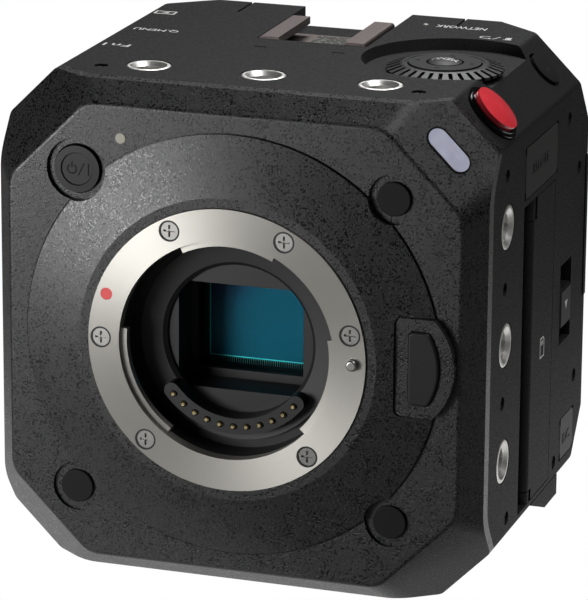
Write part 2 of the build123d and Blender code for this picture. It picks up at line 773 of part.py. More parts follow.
def mount_surround():
    """The shallow cone between the flat front and the mount ring."""
    ring = turned([
        (MOUNT_RADIUS + SURROUND_GAP, 0),
        (SURROUND_RADIUS, 0),
        (SURROUND_RADIUS, -SURROUND_RIM),
        (SURROUND_TOP_RADIUS, -SURROUND_STAND),
        (MOUNT_RADIUS + SURROUND_GAP, -SURROUND_STAND),
    ])
    ring -= rod(POWER_RECESS_RADIUS, (POWER_X, -5, POWER_Z), BACK, 10)
    for recess in cap_recesses(CAP_RECESS_RADIUS, -5, 5):
        ring -= recess
    grown = (RELEASE_HOUSING[0] - SURROUND_GAP, RELEASE_HOUSING[1] + 2)
    ring -= front_slab(d_outline(grown, RELEASE_HOUSING_SIZE[1] + 2 * SURROUND_GAP, 1.2), -5, 5)
    return ring


def cover_ring():
    """The walls between the front cover and the rear seam."""
    return (HULL & BEHIND & octagon(-1.0, -1.0, REAR_SEAM)) - CORE


def dial_pocket():
    """The scooped pocket round the dial: a shallow bowl with a steeper front wall."""
    bowl = Pos(DIAL_X, POCKET_Y, POCKET_FLOOR) * Cone(
        POCKET_FLOOR_RADIUS, 2 * POCKET_RADIUS - POCKET_FLOOR_RADIUS, 2 * POCKET_DEPTH, align=FROM_BASE
    )
    ring = Pos(DIAL_X, DIAL_Y, POCKET_FLOOR) * Cone(
        DIAL_RADIUS + DIAL_WALL_GAP, DIAL_RADIUS + DIAL_WALL_GAP + 1.4, 2 * POCKET_DEPTH, align=FROM_BASE
    )
    return bowl + ring


def pocket_pan():
    """The pocket's floor and wall seen from inside, clipped to the body's outline."""
    outer = POCKET_RADIUS + POCKET_FLOOR_THICKNESS
    pan = Pos(DIAL_X, POCKET_Y, POCKET_FLOOR - POCKET_FLOOR_THICKNESS) * Cylinder(
        outer, POCKET_DEPTH + POCKET_FLOOR_THICKNESS, align=FROM_BASE
    )
    return pan & HULL


def shoe_channel():
    """The channel that holds the shoe and runs out through the rear."""
    half = SHOE_OUTER / 2 + SHOE_CHANNEL_GAP
    floor = shoe_floor()
    return block((-half, half), (SHOE_FRONT, BODY_DEPTH + 5), (floor, HALF + 5))


def shoe_floor():
    return HALF + SHOE_PROUD - SHOE_RAIL - SHOE_SLOT_HEIGHT - SHOE_PLATE


def shoe_pan(rear):
    """The channel's floor and side walls, inside the covers."""
    half = SHOE_OUTER / 2 + SHOE_CHANNEL_GAP + BAY_WALL
    low = shoe_floor() - BAY_WALL
    return block((-half, half), (SHOE_FRONT - BAY_WALL, rear), (low, INNER + 0.5)) & HULL


def shoulder_rooms():
    """The holes of the shoulder buttons and the room for their switch cups."""
    rooms = []
    for key in shoulder_keys().values():
        hole = Cylinder(key.hole, 2 * COVER_WALL)
        room = cup_radius(key.radius) + SEAT_GAP
        cup = Pos(0, 0, -COVER_WALL) * Cylinder(room, 2 * cup_depth(), align=HANG)
        rooms.append(shoulder_plane(key.y, key.side) * (hole + cup))
    return rooms


def microphone_slits():
    front, height = 38.4, 0.5
    slits = []
    for x in (-8.0, 7.3):
        slits.append(block((x - 1.3, x + 1.3), (front, front + height), (HALF - 0.6, HALF + 1)))
    return slits


def top_cover():
    cover = split(cover_ring(), bisect_by=Plane(origin=(0, 0, SIDE_EDGE), z_dir=UP), keep=Keep.TOP)
    cover += pocket_pan() & octagon(0, 0, REAR_SEAM)
    cover += shoe_pan(REAR_SEAM)
    cover -= dial_pocket()
    cover -= shoe_channel()
    cover -= rod(HUB_INNER + HUB_WALL + SEAT_GAP, (DIAL_X, DIAL_Y, 0), UP, BODY_SIZE)
    for cutter in shoulder_rooms() + microphone_slits():
        cover -= cutter
    return cover


def side_band():
    upper = split(cover_ring(), bisect_by=Plane(origin=(0, 0, SIDE_EDGE), z_dir=UP), keep=Keep.BOTTOM)
    return split(upper, bisect_by=Plane(origin=(0, 0, -SIDE_EDGE), z_dir=UP), keep=Keep.TOP)


def card_bay():
    """The recess of the card door and the box behind it, as an outer block and its hollow."""
    wall = BAY_WALL
    deep = HALF - BAY_FLOOR
    outer = block((deep - wall, INNER), (BAY_FRONT - wall, BAY_REAR + wall), (BAY_BOTTOM - wall, BAY_TOP))
    hollow = block((deep, HALF + 1), (BAY_FRONT, BAY_REAR), (BAY_BOTTOM, BAY_TOP))
    return outer, hollow


def door_hinge():
    """The door's hinge line, as its distance from the middle and behind the front face."""
    return HALF - DOOR_BARREL, DOOR_FRONT + DOOR_BARREL


def door_ears():
    """The fixed knuckles above and below the door's barrel."""
    x, y = door_hinge()
    ears = []
    for low, high in ((DOOR_TOP, BAY_TOP), (BAY_BOTTOM, DOOR_BOTTOM)):
        ear = rod(DOOR_BARREL, (x, y, low), UP, high - low)
        ear += block((HALF - BAY_FLOOR, x), (y - DOOR_BARREL, y + DOOR_BARREL), (low, high))
        ears.append(ear)
    return ears


def latch_guide():
    """A channel behind the latch's slot that keeps its foot against the wall."""
    front, rear, bottom, top = LATCH_SLOT
    foot_back = INNER - RUN_GAP - LATCH_FOOT
    outer = block((foot_back - 1.2, INNER), (front - 2.4, rear + 1.3), (bottom - 3.4, top + 5.6))
    hollow = block((foot_back - RUN_GAP, INNER), (front - 1.3, rear + 0.8), (bottom - 6, top + 8))
    return outer - hollow


def card_side_cover():
    """The camera's left side, with the card bay, the latch slot and the two flap bays."""
    cover = split(side_band(), bisect_by=Plane.YZ, keep=Keep.TOP)
    bay, bay_hollow = card_bay()
    cover = cover + bay - bay_hollow
    for ear in door_ears():
        cover += ear
    for window in card_slots(HALF - BAY_FLOOR - 2 * BAY_WALL, HALF):
        cover -= window
    front, rear, bottom, top = LATCH_SLOT
    cover -= block((INNER - 1, HALF + 1), (front, rear), (bottom, top))
    cover += latch_guide()
    for limits in (REMOTE_FLAP, DC_FLAP):
        opening, _, pin_room = flap_parts(limits)
        bay, hollow = socket_bay(limits)
        cover += bay & octagon(0, 0, REAR_SEAM)
        cover = cover - hollow - opening - pin_room
    for y, z, _ in jack_places():
        cover -= rod(JACK_RADIUS + SEAT_GAP, (INNER - 8, y, z), RIGHT, 10)
    for cutter in shoulder_rooms() + door_pin_room():
        cover -= cutter
    return cover & octagon(0, 0, REAR_SEAM) & block((0, HALF), (0, BODY_DEPTH), (-SIDE_EDGE, SIDE_EDGE))


def fan_side_cover():
    """The camera's right side, with the opening of the exhaust grille."""
    cover = split(side_band(), bisect_by=Plane.YZ, keep=Keep.BOTTOM)
    for cutter in shoulder_rooms():
        cover -= cutter
    return cover - mirrored(side_slab(grille_outline(0.0), INNER - 1, HALF + 1))


def bottom_cover():
    """The bottom with its long chamfers, the rear insert's boss and the card-side wedge."""
    cover = split(cover_ring(), bisect_by=Plane(origin=(0, 0, -SIDE_EDGE), z_dir=UP), keep=Keep.BOTTOM)
    boss_top = INSERT_LENGTH + INSERT_FLANGE
    cover += rod(INSERT_BOSS, (0, REAR_BOTTOM_INSERT, -HALF), UP, boss_top)
    return cover + shoulder_wedge()


def shoulder_wedge():
    """The block under the lower card-side chamfer, sloped at its front."""
    top = -SIDE_EDGE
    low = top - WEDGE_DROP
    inner = HALF - WEDGE_INSET
    edge = Polyline((WEDGE_FRONT, top), (WEDGE_FULL, low), (WEDGE_REAR, low), (WEDGE_REAR, top), close=True)
    return side_slab(make_face(edge), inner, HALF) - HULL


def battery_hollow():
    half = BATTERY_BAY_WIDTH / 2
    y = (BODY_DEPTH - BATTERY_BAY_DEPTH, BODY_DEPTH + 5)
    return block((-half, half), y, (BATTERY_BAY_BOTTOM, BATTERY_BAY_TOP))


def battery_tray():
    wall = BATTERY_FLOOR
    half = BATTERY_BAY_WIDTH / 2 + wall
    y = (BODY_DEPTH - BATTERY_BAY_DEPTH - wall, BODY_DEPTH - COVER_WALL)
    return block((-half, half), y, (BATTERY_BAY_BOTTOM - wall, BATTERY_BAY_TOP + wall))


def terminal_recess(gap):
    """The recess of the rubber terminal cover: it runs out through the card side."""
    left, bottom, top = TERMINAL_FLAP
    y = (BODY_DEPTH - TERMINAL_THICKNESS - gap, BODY_DEPTH + 5)
    return block((left - gap, HALF + 5), y, (bottom - gap, top + gap))


def rear_cover():
    """The rear cap with its facets, the battery bay and the openings of the sockets."""
    cover = split(HULL, bisect_by=Plane(origin=(0, REAR_SEAM, 0), z_dir=BACK), keep=Keep.TOP) - CORE
    cover += shoe_pan(BODY_DEPTH) & octagon(0, REAR_SEAM, BODY_DEPTH)
    cover += battery_tray()
    cover -= battery_hollow()
    cover -= shoe_channel()
    cover -= terminal_recess(BUTTON_GAP)
    for z in BNC_ROWS:
        cover -= rod(BNC_RADIUS + 1.2, (BNC_X, BODY_DEPTH - 4, z), BACK, 8)
    x, z = NETWORK_CENTRE
    cover -= centred(NETWORK_SIZE, (BODY_DEPTH - 4, BODY_DEPTH + 1), x, z)
    for cutter in terminal_mouths(SEAT_GAP):
        cover -= cutter
    opening, _, pin_room = flap_parts(DC_FLAP)
    bay, hollow = socket_bay(DC_FLAP)
    cover += (bay & HULL) & octagon(0, REAR_SEAM, BODY_DEPTH)
    cover = cover - hollow - opening
    y, z, _ = jack_places()[2]
    cover -= rod(JACK_RADIUS + SEAT_GAP, (INNER - 8, y, z), RIGHT, 10)
    cover -= battery_release_room()
    for x in (-REAR_GROOVE_X, REAR_GROOVE_X):
        groove_z = (HALF - REAR_GROOVE, HALF + 1)
        cover -= block((x - REAR_GROOVE / 2, x + REAR_GROOVE / 2), (REAR_SEAM, BODY_DEPTH + 1), groove_z)
    return cover


# Frame

def front_hole_cutters():
    """What passes through the frame's front wall."""
    cutters = [rod(cup_radius(POWER_RADIUS) + SEAT_GAP, (POWER_X, 0, POWER_Z), BACK, 10)]
    cutters.append(release_opening(2 * BUTTON_GAP + KEY_FLANGE, 0, 10))
    return cutters


def main_frame():
    """The cast frame: a tub behind the front cover with the mount boss and the insert bosses."""
    tub = octagon(COVER_WALL, 0, FRAME_DEPTH) & BEHIND
    tub -= octagon(COVER_WALL + FRAME_WALL, FRAME_BACK, FRAME_DEPTH + 1)
    seat = RIM_FRONT + MOUNT_FLANGE
    tub += rod(MOUNT_RADIUS - 0.1, (0, seat, 0), BACK, FRAME_BACK - seat)
    for planes in insert_planes().values():
        for plane in planes:
            if plane.origin.Y < FRAME_DEPTH:
                depth = INSERT_LENGTH + INSERT_FLANGE
                boss = plane * Cylinder(INSERT_BOSS, depth, align=HANG)
                tub += boss & octagon(COVER_WALL, 0, FRAME_DEPTH)
    tub -= rod(MOUNT_THROAT + THROAT_WALL + SEAT_GAP, (0, -5, 0), BACK, 20)
    for cutter in front_hole_cutters():
        tub -= cutter
    tub -= shoulder_rooms()[0]
    tub -= Pos(DIAL_X, POCKET_Y, POCKET_FLOOR - POCKET_FLOOR_THICKNESS - SEAT_GAP) * Cylinder(
        POCKET_RADIUS + POCKET_FLOOR_THICKNESS + SEAT_GAP, 10, align=FROM_BASE
    )
    tub -= lock_pin_room()
    for hole in mount_screw_holes() + cap_screw_holes():
        tub -= hole
    return tub


def lock_pin_room():
    x, z = polar(SCREW_CIRCLE, 0)
    return rod(LOCK_PIN_RADIUS + RUN_GAP, (x, -10, z), BACK, 30)


# Lens mount

def mount_ring():
    """The bayonet ring: a flange with three claws set back from its face."""
    ring = tube(MOUNT_RADIUS, MOUNT_THROAT, (0, RIM_FRONT, 0), BACK, MOUNT_FLANGE)
    front = RIM_FRONT + CLAW_RECESS
    tip = MOUNT_THROAT - CLAW_REACH
    for start, end in CLAW_SPANS:
        ring += sector(MOUNT_THROAT + 0.4, tip, start, end, front, front + CLAW_THICKNESS)
    for hole in mount_screw_holes():
        ring -= hole
    x, z = polar(INDEX_CIRCLE, INDEX_ANGLE)
    ring -= rod(INDEX_RADIUS + SEAT_GAP, (x, RIM_FRONT - 1, z), BACK, 1.5)
    return ring - lock_pin_room()


def mount_screw_planes():
    return [
        Plane(origin=(x, RIM_FRONT, z), x_dir=RIGHT, z_dir=FORWARD)
        for x, z in (polar(SCREW_CIRCLE, angle) for angle in MOUNT_SCREW_ANGLES)
    ]


def mount_screw_holes():
    rest = (MOUNT_SCREW_HEAD, MOUNT_SCREW_SHANK, MOUNT_SCREW_LENGTH, MOUNT_SCREW_RECESS)
    return [screw_hole(plane, MOUNT_SCREW_RADIUS + SCREW_GAP, *rest) for plane in mount_screw_planes()]


def mount_screws():
    rest = (MOUNT_SCREW_HEAD, MOUNT_SCREW_SHANK, MOUNT_SCREW_LENGTH, MOUNT_SCREW_RECESS)
    return [screw(plane, MOUNT_SCREW_RADIUS, *rest) for plane in mount_screw_planes()]


def mount_index_dot():
    x, z = polar(INDEX_CIRCLE, INDEX_ANGLE)
    return rod(INDEX_RADIUS, (x, RIM_FRONT + 0.05, z), BACK, 0.45)


def mount_springs():
    """The three leaf springs flat on the backs of the claws."""
    front = RIM_FRONT + MOUNT_FLANGE
    outer = MOUNT_THROAT - SEAT_GAP
    inner = MOUNT_THROAT - CLAW_REACH + 0.2
    springs = []
    for start, end in CLAW_SPANS:
        middle = (start + end) / 2
        first = middle - SPRING_HALF_ANGLE
        last = middle + SPRING_HALF_ANGLE
        springs.append(sector(outer, inner, first, last, front, front + SPRING_THICKNESS))
    return springs


def contact_angles():
    start = 270 - CONTACT_STEP * (CONTACT_COUNT - 1) / 2
    return [start + CONTACT_STEP * i for i in range(CONTACT_COUNT)]


def mount_throat():
    """The black moulding behind the bayonet: its well, a conical plate and the contact block."""
    outer = MOUNT_THROAT + THROAT_WALL
    seat = RIM_FRONT + MOUNT_FLANGE
    body = turned([
        (MOUNT_THROAT, seat),
        (outer, seat),
        (outer, FRAME_BACK),
        (APERTURE_RADIUS, FRAME_BACK),
        (APERTURE_RADIUS, THROAT_PLATE_DEPTH + APERTURE_BEVEL),
        (APERTURE_RADIUS + APERTURE_BEVEL, THROAT_PLATE_DEPTH),
        (THROAT_LEDGE, THROAT_PLATE_DEPTH - THROAT_PLATE_RISE),
        (THROAT_LEDGE, THROAT_WELL),
        (MOUNT_THROAT, THROAT_WELL),
    ])
    angles = contact_angles()
    half = CONTACT_BLOCK_HALF_WIDTH
    overrun = 0.25 * CONTACT_STEP
    ends = (angles[0] - overrun, angles[-1] + overrun)
    block_depths = (CONTACT_BLOCK_FRONT, THROAT_PLATE_DEPTH + 0.5)
    body += sector(CONTACT_RADIUS + half, CONTACT_RADIUS - half, *ends, *block_depths)
    for angle in ends:
        x, z = polar(CONTACT_RADIUS, angle)
        body += rod(half, (x, CONTACT_BLOCK_FRONT, z), BACK, block_depths[1] - block_depths[0])
    for angle in angles:
        x, z = polar(CONTACT_RADIUS, angle)
        body -= rod(CONTACT_PIN_RADIUS + RUN_GAP, (x, -5, z), BACK, 15)
        body -= rod(CONTACT_PIN_RADIUS + CONTACT_PIN_GAP, (x, -5, z), BACK, 5 + CONTACT_BLOCK_FRONT + 0.5)
    return body


def contact_pins():
    """The spring contacts: their backs stop short of the sensor frame when they are pressed."""
    pins = []
    front = CONTACT_BLOCK_FRONT - CONTACT_STAND
    length = FRAME_BACK - CONTACT_TRAVEL - 2 * RUN_GAP - front
    for angle in contact_angles():
        x, z = polar(CONTACT_RADIUS, angle)
        pin = rod(CONTACT_PIN_RADIUS, (x, front, z), BACK, length)
        pins.append(chamfer(pin.faces().sort_by(Axis.Y)[0].edges(), 0.4 * CONTACT_PIN_RADIUS))
    return pins


def lens_lock_pin():
    """The lock pin and the arm that the release button presses."""
    x, z = polar(SCREW_CIRCLE, 0)
    front = RIM_FRONT - LOCK_PIN_STAND
    arm_front = FRAME_BACK + RUN_GAP
    pin = rod(LOCK_PIN_RADIUS, (x, front, z), BACK, arm_front - front + 1)
    pin = fillet(pin.faces().sort_by(Axis.Y)[0].edges(), 0.4 * LOCK_PIN_RADIUS)
    reach = (x - LOCK_ARM_SETBACK, RELEASE_BUTTON[1] - LOCK_ARM_SETBACK)
    half = LOCK_ARM_HALF_WIDTH
    return pin + block(reach, (arm_front, arm_front + LOCK_ARM), (-half, half))


def release_back():
    return FRONT_COVER_DEPTH + RUN_GAP + KEY_FLANGE_THICKNESS


def lens_release_button():
    """The D-shaped key, its flange and the foot that meets the lock's arm once it moves."""
    front = -RELEASE_STAND - RELEASE_PROUD
    key = release_opening(0, front, release_back())
    flange = release_opening(KEY_FLANGE, FRONT_COVER_DEPTH + RUN_GAP, release_back())
    edges = key.faces().sort_by(Axis.Y)[0].edges()
    left, right = RELEASE_BUTTON
    foot_back = FRAME_BACK - (RELEASE_TRAVEL - LOCK_TRAVEL)
    foot = block((left + 1.0, right - 1.5), (release_back() - 0.5, foot_back), (-1.6, 1.6))
    return fillet(edges, 0.4) + flange + foot


# Sensor

def stack():
    """Depths of the sensor stack, from the funnel's front to the heat spreader's back."""
    package_front = SENSOR_PLANE - SENSOR_DIE_RECESS
    filter_front = package_front - FILTER_THICKNESS
    board_front = package_front + SENSOR_PACKAGE_DEPTH
    return {
        "funnel": FRAME_BACK,
        "lip": filter_front - SENSOR_LIP,
        "filter": filter_front,
        "package": package_front,
        "board": board_front,
        "spreader": board_front + BOARD_THICKNESS,
    }


def grown(size, gap):
    return size[0] + 2 * gap, size[1] + 2 * gap


def sensor_frame():
    """The stepped black funnel that holds the filter and the sensor."""
    at = stack()
    frame = centred(SENSOR_FRAME, (at["funnel"], at["board"]))
    frame -= centred(SENSOR_TUNNEL, (0, at["lip"]))
    frame -= centred(SENSOR_LIP_OPENING, (0, at["filter"]))
    frame -= centred(grown(FILTER_SIZE, SEAT_GAP), (at["filter"], at["package"]))
    return frame - centred(grown(SENSOR_PACKAGE, SEAT_GAP), (at["package"], at["board"] + 1))


def sensor_filter():
    at = stack()
    return centred(FILTER_SIZE, (at["filter"], at["package"]))


def image_sensor():
    """The ceramic package with the die standing in its well."""
    at = stack()
    well_back = SENSOR_PLANE + SENSOR_DIE_THICKNESS
    package = centred(SENSOR_PACKAGE, (at["package"], at["board"]))
    package -= centred(SENSOR_PACKAGE_WELL, (at["package"] - 1, well_back))
    return package + centred(SENSOR_DIE, (SENSOR_PLANE, well_back + 0.5))


def sensor_board():
    at = stack()
    return centred(grown(SENSOR_FRAME, 1.5), (at["board"], at["spreader"]))


def heat_spreader():
    at = stack()
    return centred(SENSOR_FRAME, (at["spreader"], at["spreader"] + SPREADER_THICKNESS))


# Buttons and lamps

def power_button():
    """The round key in the counterbore, dished in the middle."""
    plane = Plane(origin=(POWER_X, POWER_RECESS, POWER_Z), x_dir=RIGHT, z_dir=FORWARD)
    wall = FRONT_COVER_DEPTH - POWER_RECESS
    proud = POWER_RECESS - POWER_PROUD
    key = button(plane, POWER_RADIUS, proud, POWER_DOME, wall)
    return key - rod(POWER_DISH_RADIUS, (POWER_X, POWER_PROUD + 0.25, POWER_Z), FORWARD, 2)


def shoulder_button(name):
    key = shoulder_keys()[name]
    return button(shoulder_plane(key.y, key.side), key.radius, key.stand, key.dome, COVER_WALL)


def record_collar():
    """The stepped ring round the record button."""
    bore = RECORD_RADIUS + BUTTON_GAP
    step = RECORD_COLLAR_STAND / 2
    profile = Polyline(
        (bore, 0, -COVER_WALL), (RECORD_COLLAR, 0, -COVER_WALL), (RECORD_COLLAR, 0, step),
        (RECORD_COLLAR_NECK, 0, step + 0.1), (RECORD_COLLAR_NECK, 0, RECORD_COLLAR_STAND),
        (bore, 0, RECORD_COLLAR_STAND), close=True,
    )
    return shoulder_plane(RECORD_Y) * revolve(make_face(profile), Axis.Z, 360)


def key_switches():
    """The switch cups under the push buttons."""
    cups = []
    for key in shoulder_keys().values():
        cups.append(switch_cup(shoulder_plane(key.y, key.side), key.radius, COVER_WALL))
    front = Plane(origin=(POWER_X, 0, POWER_Z), x_dir=RIGHT, z_dir=FORWARD)
    return cups + [switch_cup(front, POWER_RADIUS, FRONT_COVER_DEPTH)]


def power_lamp():
    start = (POWER_LAMP_X, FRONT_COVER_DEPTH, POWER_LAMP_Z)
    return rod(POWER_LAMP_RADIUS, start, FORWARD, FRONT_COVER_DEPTH + 0.15)


def facet_plane():
    """The middle of the upper facet beside the card side."""
    y = FRONT_FACET_DEPTH / 2
    reach = (FACET_SUM + FACET_SLOPE * y) / 2
    return Plane(origin=(reach, y, reach), x_dir=(1, 0, -1), z_dir=(1, -FACET_SLOPE, 1))


def tally_solid(gap, proud):
    """The pill-shaped lens of the tally lamp, let into the facet."""
    pill = SlotOverall(TALLY_LENGTH + 2 * gap, TALLY_WIDTH + 2 * gap)
    return facet_plane() * Pos(0, 0, -TALLY_DEPTH) * extrude(pill, TALLY_DEPTH + proud)


def tally_lamp():
    return tally_solid(0.0, 0.1)


def socket_caps():
    """The rubber caps over the front screws, slightly crowned."""
    caps = []
    for x, z in cap_places():
        cap = rod(CAP_RADIUS, (x, CAP_RECESS, z), FORWARD, CAP_THICKNESS)
        edge = cap.faces().sort_by(Axis.Y)[0].edges()
        caps.append(fillet(edge, 0.25))
    return caps


def cap_screw_planes():
    return [Plane(origin=(x, CAP_RECESS, z), x_dir=RIGHT, z_dir=FORWARD) for x, z in cap_places()]


def cap_screw_holes():
    rest = (CAP_SCREW_HEAD, CAP_SCREW_SHANK, CAP_SCREW_LENGTH, CAP_SCREW_RECESS)
    return [screw_hole(plane, CAP_SCREW_RADIUS, *rest) for plane in cap_screw_planes()]


def front_screws():
    rest = (CAP_SCREW_HEAD, CAP_SCREW_SHANK, CAP_SCREW_LENGTH, CAP_SCREW_RECESS)
    return [screw(plane, CAP_SCREW_RADIUS, *rest) for plane in cap_screw_planes()]


# Dial and cursor

def control_dial():
    """The ribbed wheel: a flat inner rim and a sloping outer one cut by radial grooves."""
    low = POCKET_FLOOR + DIAL_FLOOR_GAP
    rim = DIAL_TOP - DIAL_RIM_DROP
    bore = HUB_INNER + HUB_WALL + RUN_GAP
    profile = Polyline(
        (bore, 0, low), (DIAL_RADIUS - DIAL_UNDERCUT, 0, low), (DIAL_RADIUS, 0, rim - DIAL_RIM),
        (DIAL_RADIUS, 0, rim), (DIAL_RIB_INNER, 0, DIAL_TOP), (bore, 0, DIAL_TOP), close=True,
    )
    wheel = revolve(make_face(profile), Axis.Z, 360)
    slope = (DIAL_RIM_DROP / (DIAL_RADIUS - DIAL_RIB_INNER))
    length = DIAL_RADIUS - DIAL_RIB_INNER + 1
    groove = Box(length, DIAL_GROOVE_WIDTH, 2 * DIAL_GROOVE_DEPTH)
    middle = DIAL_RIB_INNER + 0.3 + length / 2
    height = DIAL_TOP - slope * (middle - DIAL_RIB_INNER)
    tilt = Pos(middle, 0, height) * Rot(0, 17, 0) * groove
    for i in range(DIAL_RIBS):
        wheel -= Rot(0, 0, 360 * i / DIAL_RIBS) * tilt
    return Pos(DIAL_X, DIAL_Y, 0) * wheel


def hub_top():
    return DIAL_TOP - 0.1


def hub_floor():
    return hub_top() - HUB_DEPTH


def dial_hub():
    """The fixed sleeve that the dial turns on, with its plate under the pocket floor."""
    under = POCKET_FLOOR - POCKET_FLOOR_THICKNESS
    floor = hub_floor()
    hub = rod(HUB_INNER + HUB_WALL, (DIAL_X, DIAL_Y, floor - HUB_PLATE), UP, hub_top() - floor + HUB_PLATE)
    hub += rod(HUB_PLATE_RADIUS, (DIAL_X, DIAL_Y, floor - HUB_PLATE), UP, under - floor + HUB_PLATE)
    hub -= rod(HUB_INNER, (DIAL_X, DIAL_Y, floor), UP, HUB_DEPTH + 1)
    start = (DIAL_X - HUB_INNER - HUB_WALL, DIAL_Y, gimbal_height())
    return hub - rod(GIMBAL_PIN + RUN_GAP, start, RIGHT, 2 * (HUB_INNER + HUB_WALL))


def gimbal_height():
    return hub_floor() + 1.3


def cursor_carrier():
    """The gimbal ring: it rocks on pins along X and carries the cursor's pins along Y."""
    z = gimbal_height()
    low = (DIAL_X, DIAL_Y, z - CARRIER_THICKNESS / 2)
    ring = tube(CARRIER_RADIUS, CARRIER_BORE, low, UP, CARRIER_THICKNESS)
    reach = HUB_INNER + HUB_WALL - RUN_GAP
    for direction in (RIGHT, LEFT):
        start = (DIAL_X + direction[0] * (CARRIER_BORE + 0.5), DIAL_Y, z)
        ring += rod(GIMBAL_PIN, start, direction, reach - CARRIER_BORE - 0.5)
    bore_start = (DIAL_X, DIAL_Y - CARRIER_RADIUS - 1, z)
    return ring - rod(GIMBAL_PIN + RUN_GAP, bore_start, BACK, 2 * CARRIER_RADIUS + 2)


def cursor_ring():
    """The four-way disc round the menu button, on a neck with its own two pins."""
    top = DIAL_TOP + 0.15
    low = (DIAL_X, DIAL_Y, top - CURSOR_THICKNESS)
    disc = tube(CURSOR_RADIUS, CURSOR_BORE, low, UP, CURSOR_THICKNESS)
    z = gimbal_height()
    neck = CARRIER_BORE - 0.35
    disc += tube(neck, CURSOR_BORE, (DIAL_X, DIAL_Y, z - 0.6), UP, top - CURSOR_THICKNESS - z + 0.6)
    for direction in (BACK, FORWARD):
        start = (DIAL_X, DIAL_Y + direction[1] * (CURSOR_BORE + 0.3), z)
        disc += rod(GIMBAL_PIN, start, direction, CARRIER_RADIUS - 0.2 - CURSOR_BORE - 0.3)
    return disc


def menu_button():
    """The domed key in the middle of the cursor, with its stem to the hub's floor."""
    top = DIAL_TOP + 0.2
    base = hub_floor() + MENU_TRAVEL + RUN_GAP
    stem = rod(MENU_RADIUS, (DIAL_X, DIAL_Y, base), UP, top - base)
    return stem + Pos(DIAL_X, DIAL_Y, top) * dome_cap(MENU_RADIUS, MENU_DOME)


# Shoe

def shoe_rails():
    """The bent steel shoe: a plate and two rails that hook over the slot."""
    half = SHOE_OUTER / 2
    low = shoe_floor()
    top = HALF + SHOE_PROUD
    shoe = block((-half, half), (SHOE_FRONT, SHOE_REAR), (low, top))
    outer = [edge for edge in shoe.edges().filter_by(Axis.Y) if edge.center().Z > top - 0.1]
    shoe = fillet(outer, 0.7)
    slot_low = low + SHOE_PLATE
    slot = (slot_low, slot_low + SHOE_SLOT_HEIGHT)
    shoe -= block((-SHOE_SLOT / 2, SHOE_SLOT / 2), (SHOE_FRONT + 1.0, SHOE_REAR + 1), slot)
    shoe -= block((-SHOE_THROAT / 2, SHOE_THROAT / 2), (SHOE_FRONT - 1, SHOE_REAR + 1), (slot_low, top + 1))
    return shoe


def shoe_spring():
    """The leaf on the shoe's floor with its two pressed tongues."""
    low = shoe_floor() + SHOE_PLATE
    half = SHOE_SPRING_WIDTH / 2
    high = low + SHOE_SPRING_THICKNESS
    leaf = block((-half, half), (SHOE_FRONT + 1.5, SHOE_REAR - 2), (low, high))
    for x in (-2.0, 2.0):
        leaf -= block((x - 1.4, x + 1.4), (SHOE_FRONT + 4, SHOE_FRONT + 9), (low - 1, high + 1))
        leaf += block((x - 0.8, x + 0.8), (SHOE_FRONT + 3.5, SHOE_FRONT + 8), (low, high))
    return leaf


# Inserts and screws

def insert(plane, lead):
    """A threaded bush: a flange with a rounded edge and a closed bore with a bevelled mouth."""
    body = Cylinder(INSERT_RADIUS, INSERT_FLANGE, align=HANG)
    body += Cylinder(INSERT_SHANK, INSERT_LENGTH, align=HANG)
    body -= Cylinder(THREAD_RADIUS, THREAD_LENGTH, align=HANG)
    if lead:
        flat = body.faces().sort_by(Axis.Z)[-1]
        body = fillet(flat.outer_wire().edges(), INSERT_ROUND)
        body -= Pos(0, 0, -lead / 2) * Cone(THREAD_RADIUS, THREAD_RADIUS + lead, lead)
    return plane * body


def inserts(name):
    lead = 0.0 if name == "bottom_inserts" else INSERT_LEAD
    return [insert(plane, lead) for plane in insert_planes()[name]]


def cover_screws():
    head = (COVER_SCREW_RADIUS, COVER_SCREW_HEAD, COVER_SCREW_SHANK)
    return [screw(plane, *head, length, COVER_SCREW_RECESS) for plane, length in cover_screw_planes()]


# Card door, latch and flaps

def card_door():
    """The long door: a plate with a rolled front edge round its hinge pins."""
    x, y = door_hinge()
    low = DOOR_BOTTOM + DOOR_GAP
    high = DOOR_TOP - DOOR_GAP
    barrel = rod(DOOR_BARREL, (x, y, low), UP, high - low)
    plate = block((INNER, HALF), (y, BAY_REAR - DOOR_GAP), (low, high))
    shelf_rear = BAY_REAR - DOOR_GAP
    end_z = (BAY_BOTTOM + DOOR_GAP, BAY_TOP - DOOR_GAP)
    ends = block((INNER, HALF), (y + DOOR_BARREL + DOOR_GAP, shelf_rear), end_z)
    door = barrel + plate + ends
    return door - door_pin_room()


def door_pin_span():
    """The pins run from inside the ears to a little way into the barrel."""
    return ((DOOR_TOP - 4.0, DOOR_TOP + 3.0), (DOOR_BOTTOM - 1.6, DOOR_BOTTOM + 4.0))


def door_pin_room():
    x, y = door_hinge()
    room = []
    for low, high in door_pin_span():
        room.append(rod(DOOR_PIN + RUN_GAP, (x, y, low - SEAT_GAP), UP, high - low + 2 * SEAT_GAP))
    return room


def door_pins():
    x, y = door_hinge()
    return [rod(DOOR_PIN, (x, y, low), UP, high - low) for low, high in door_pin_span()]


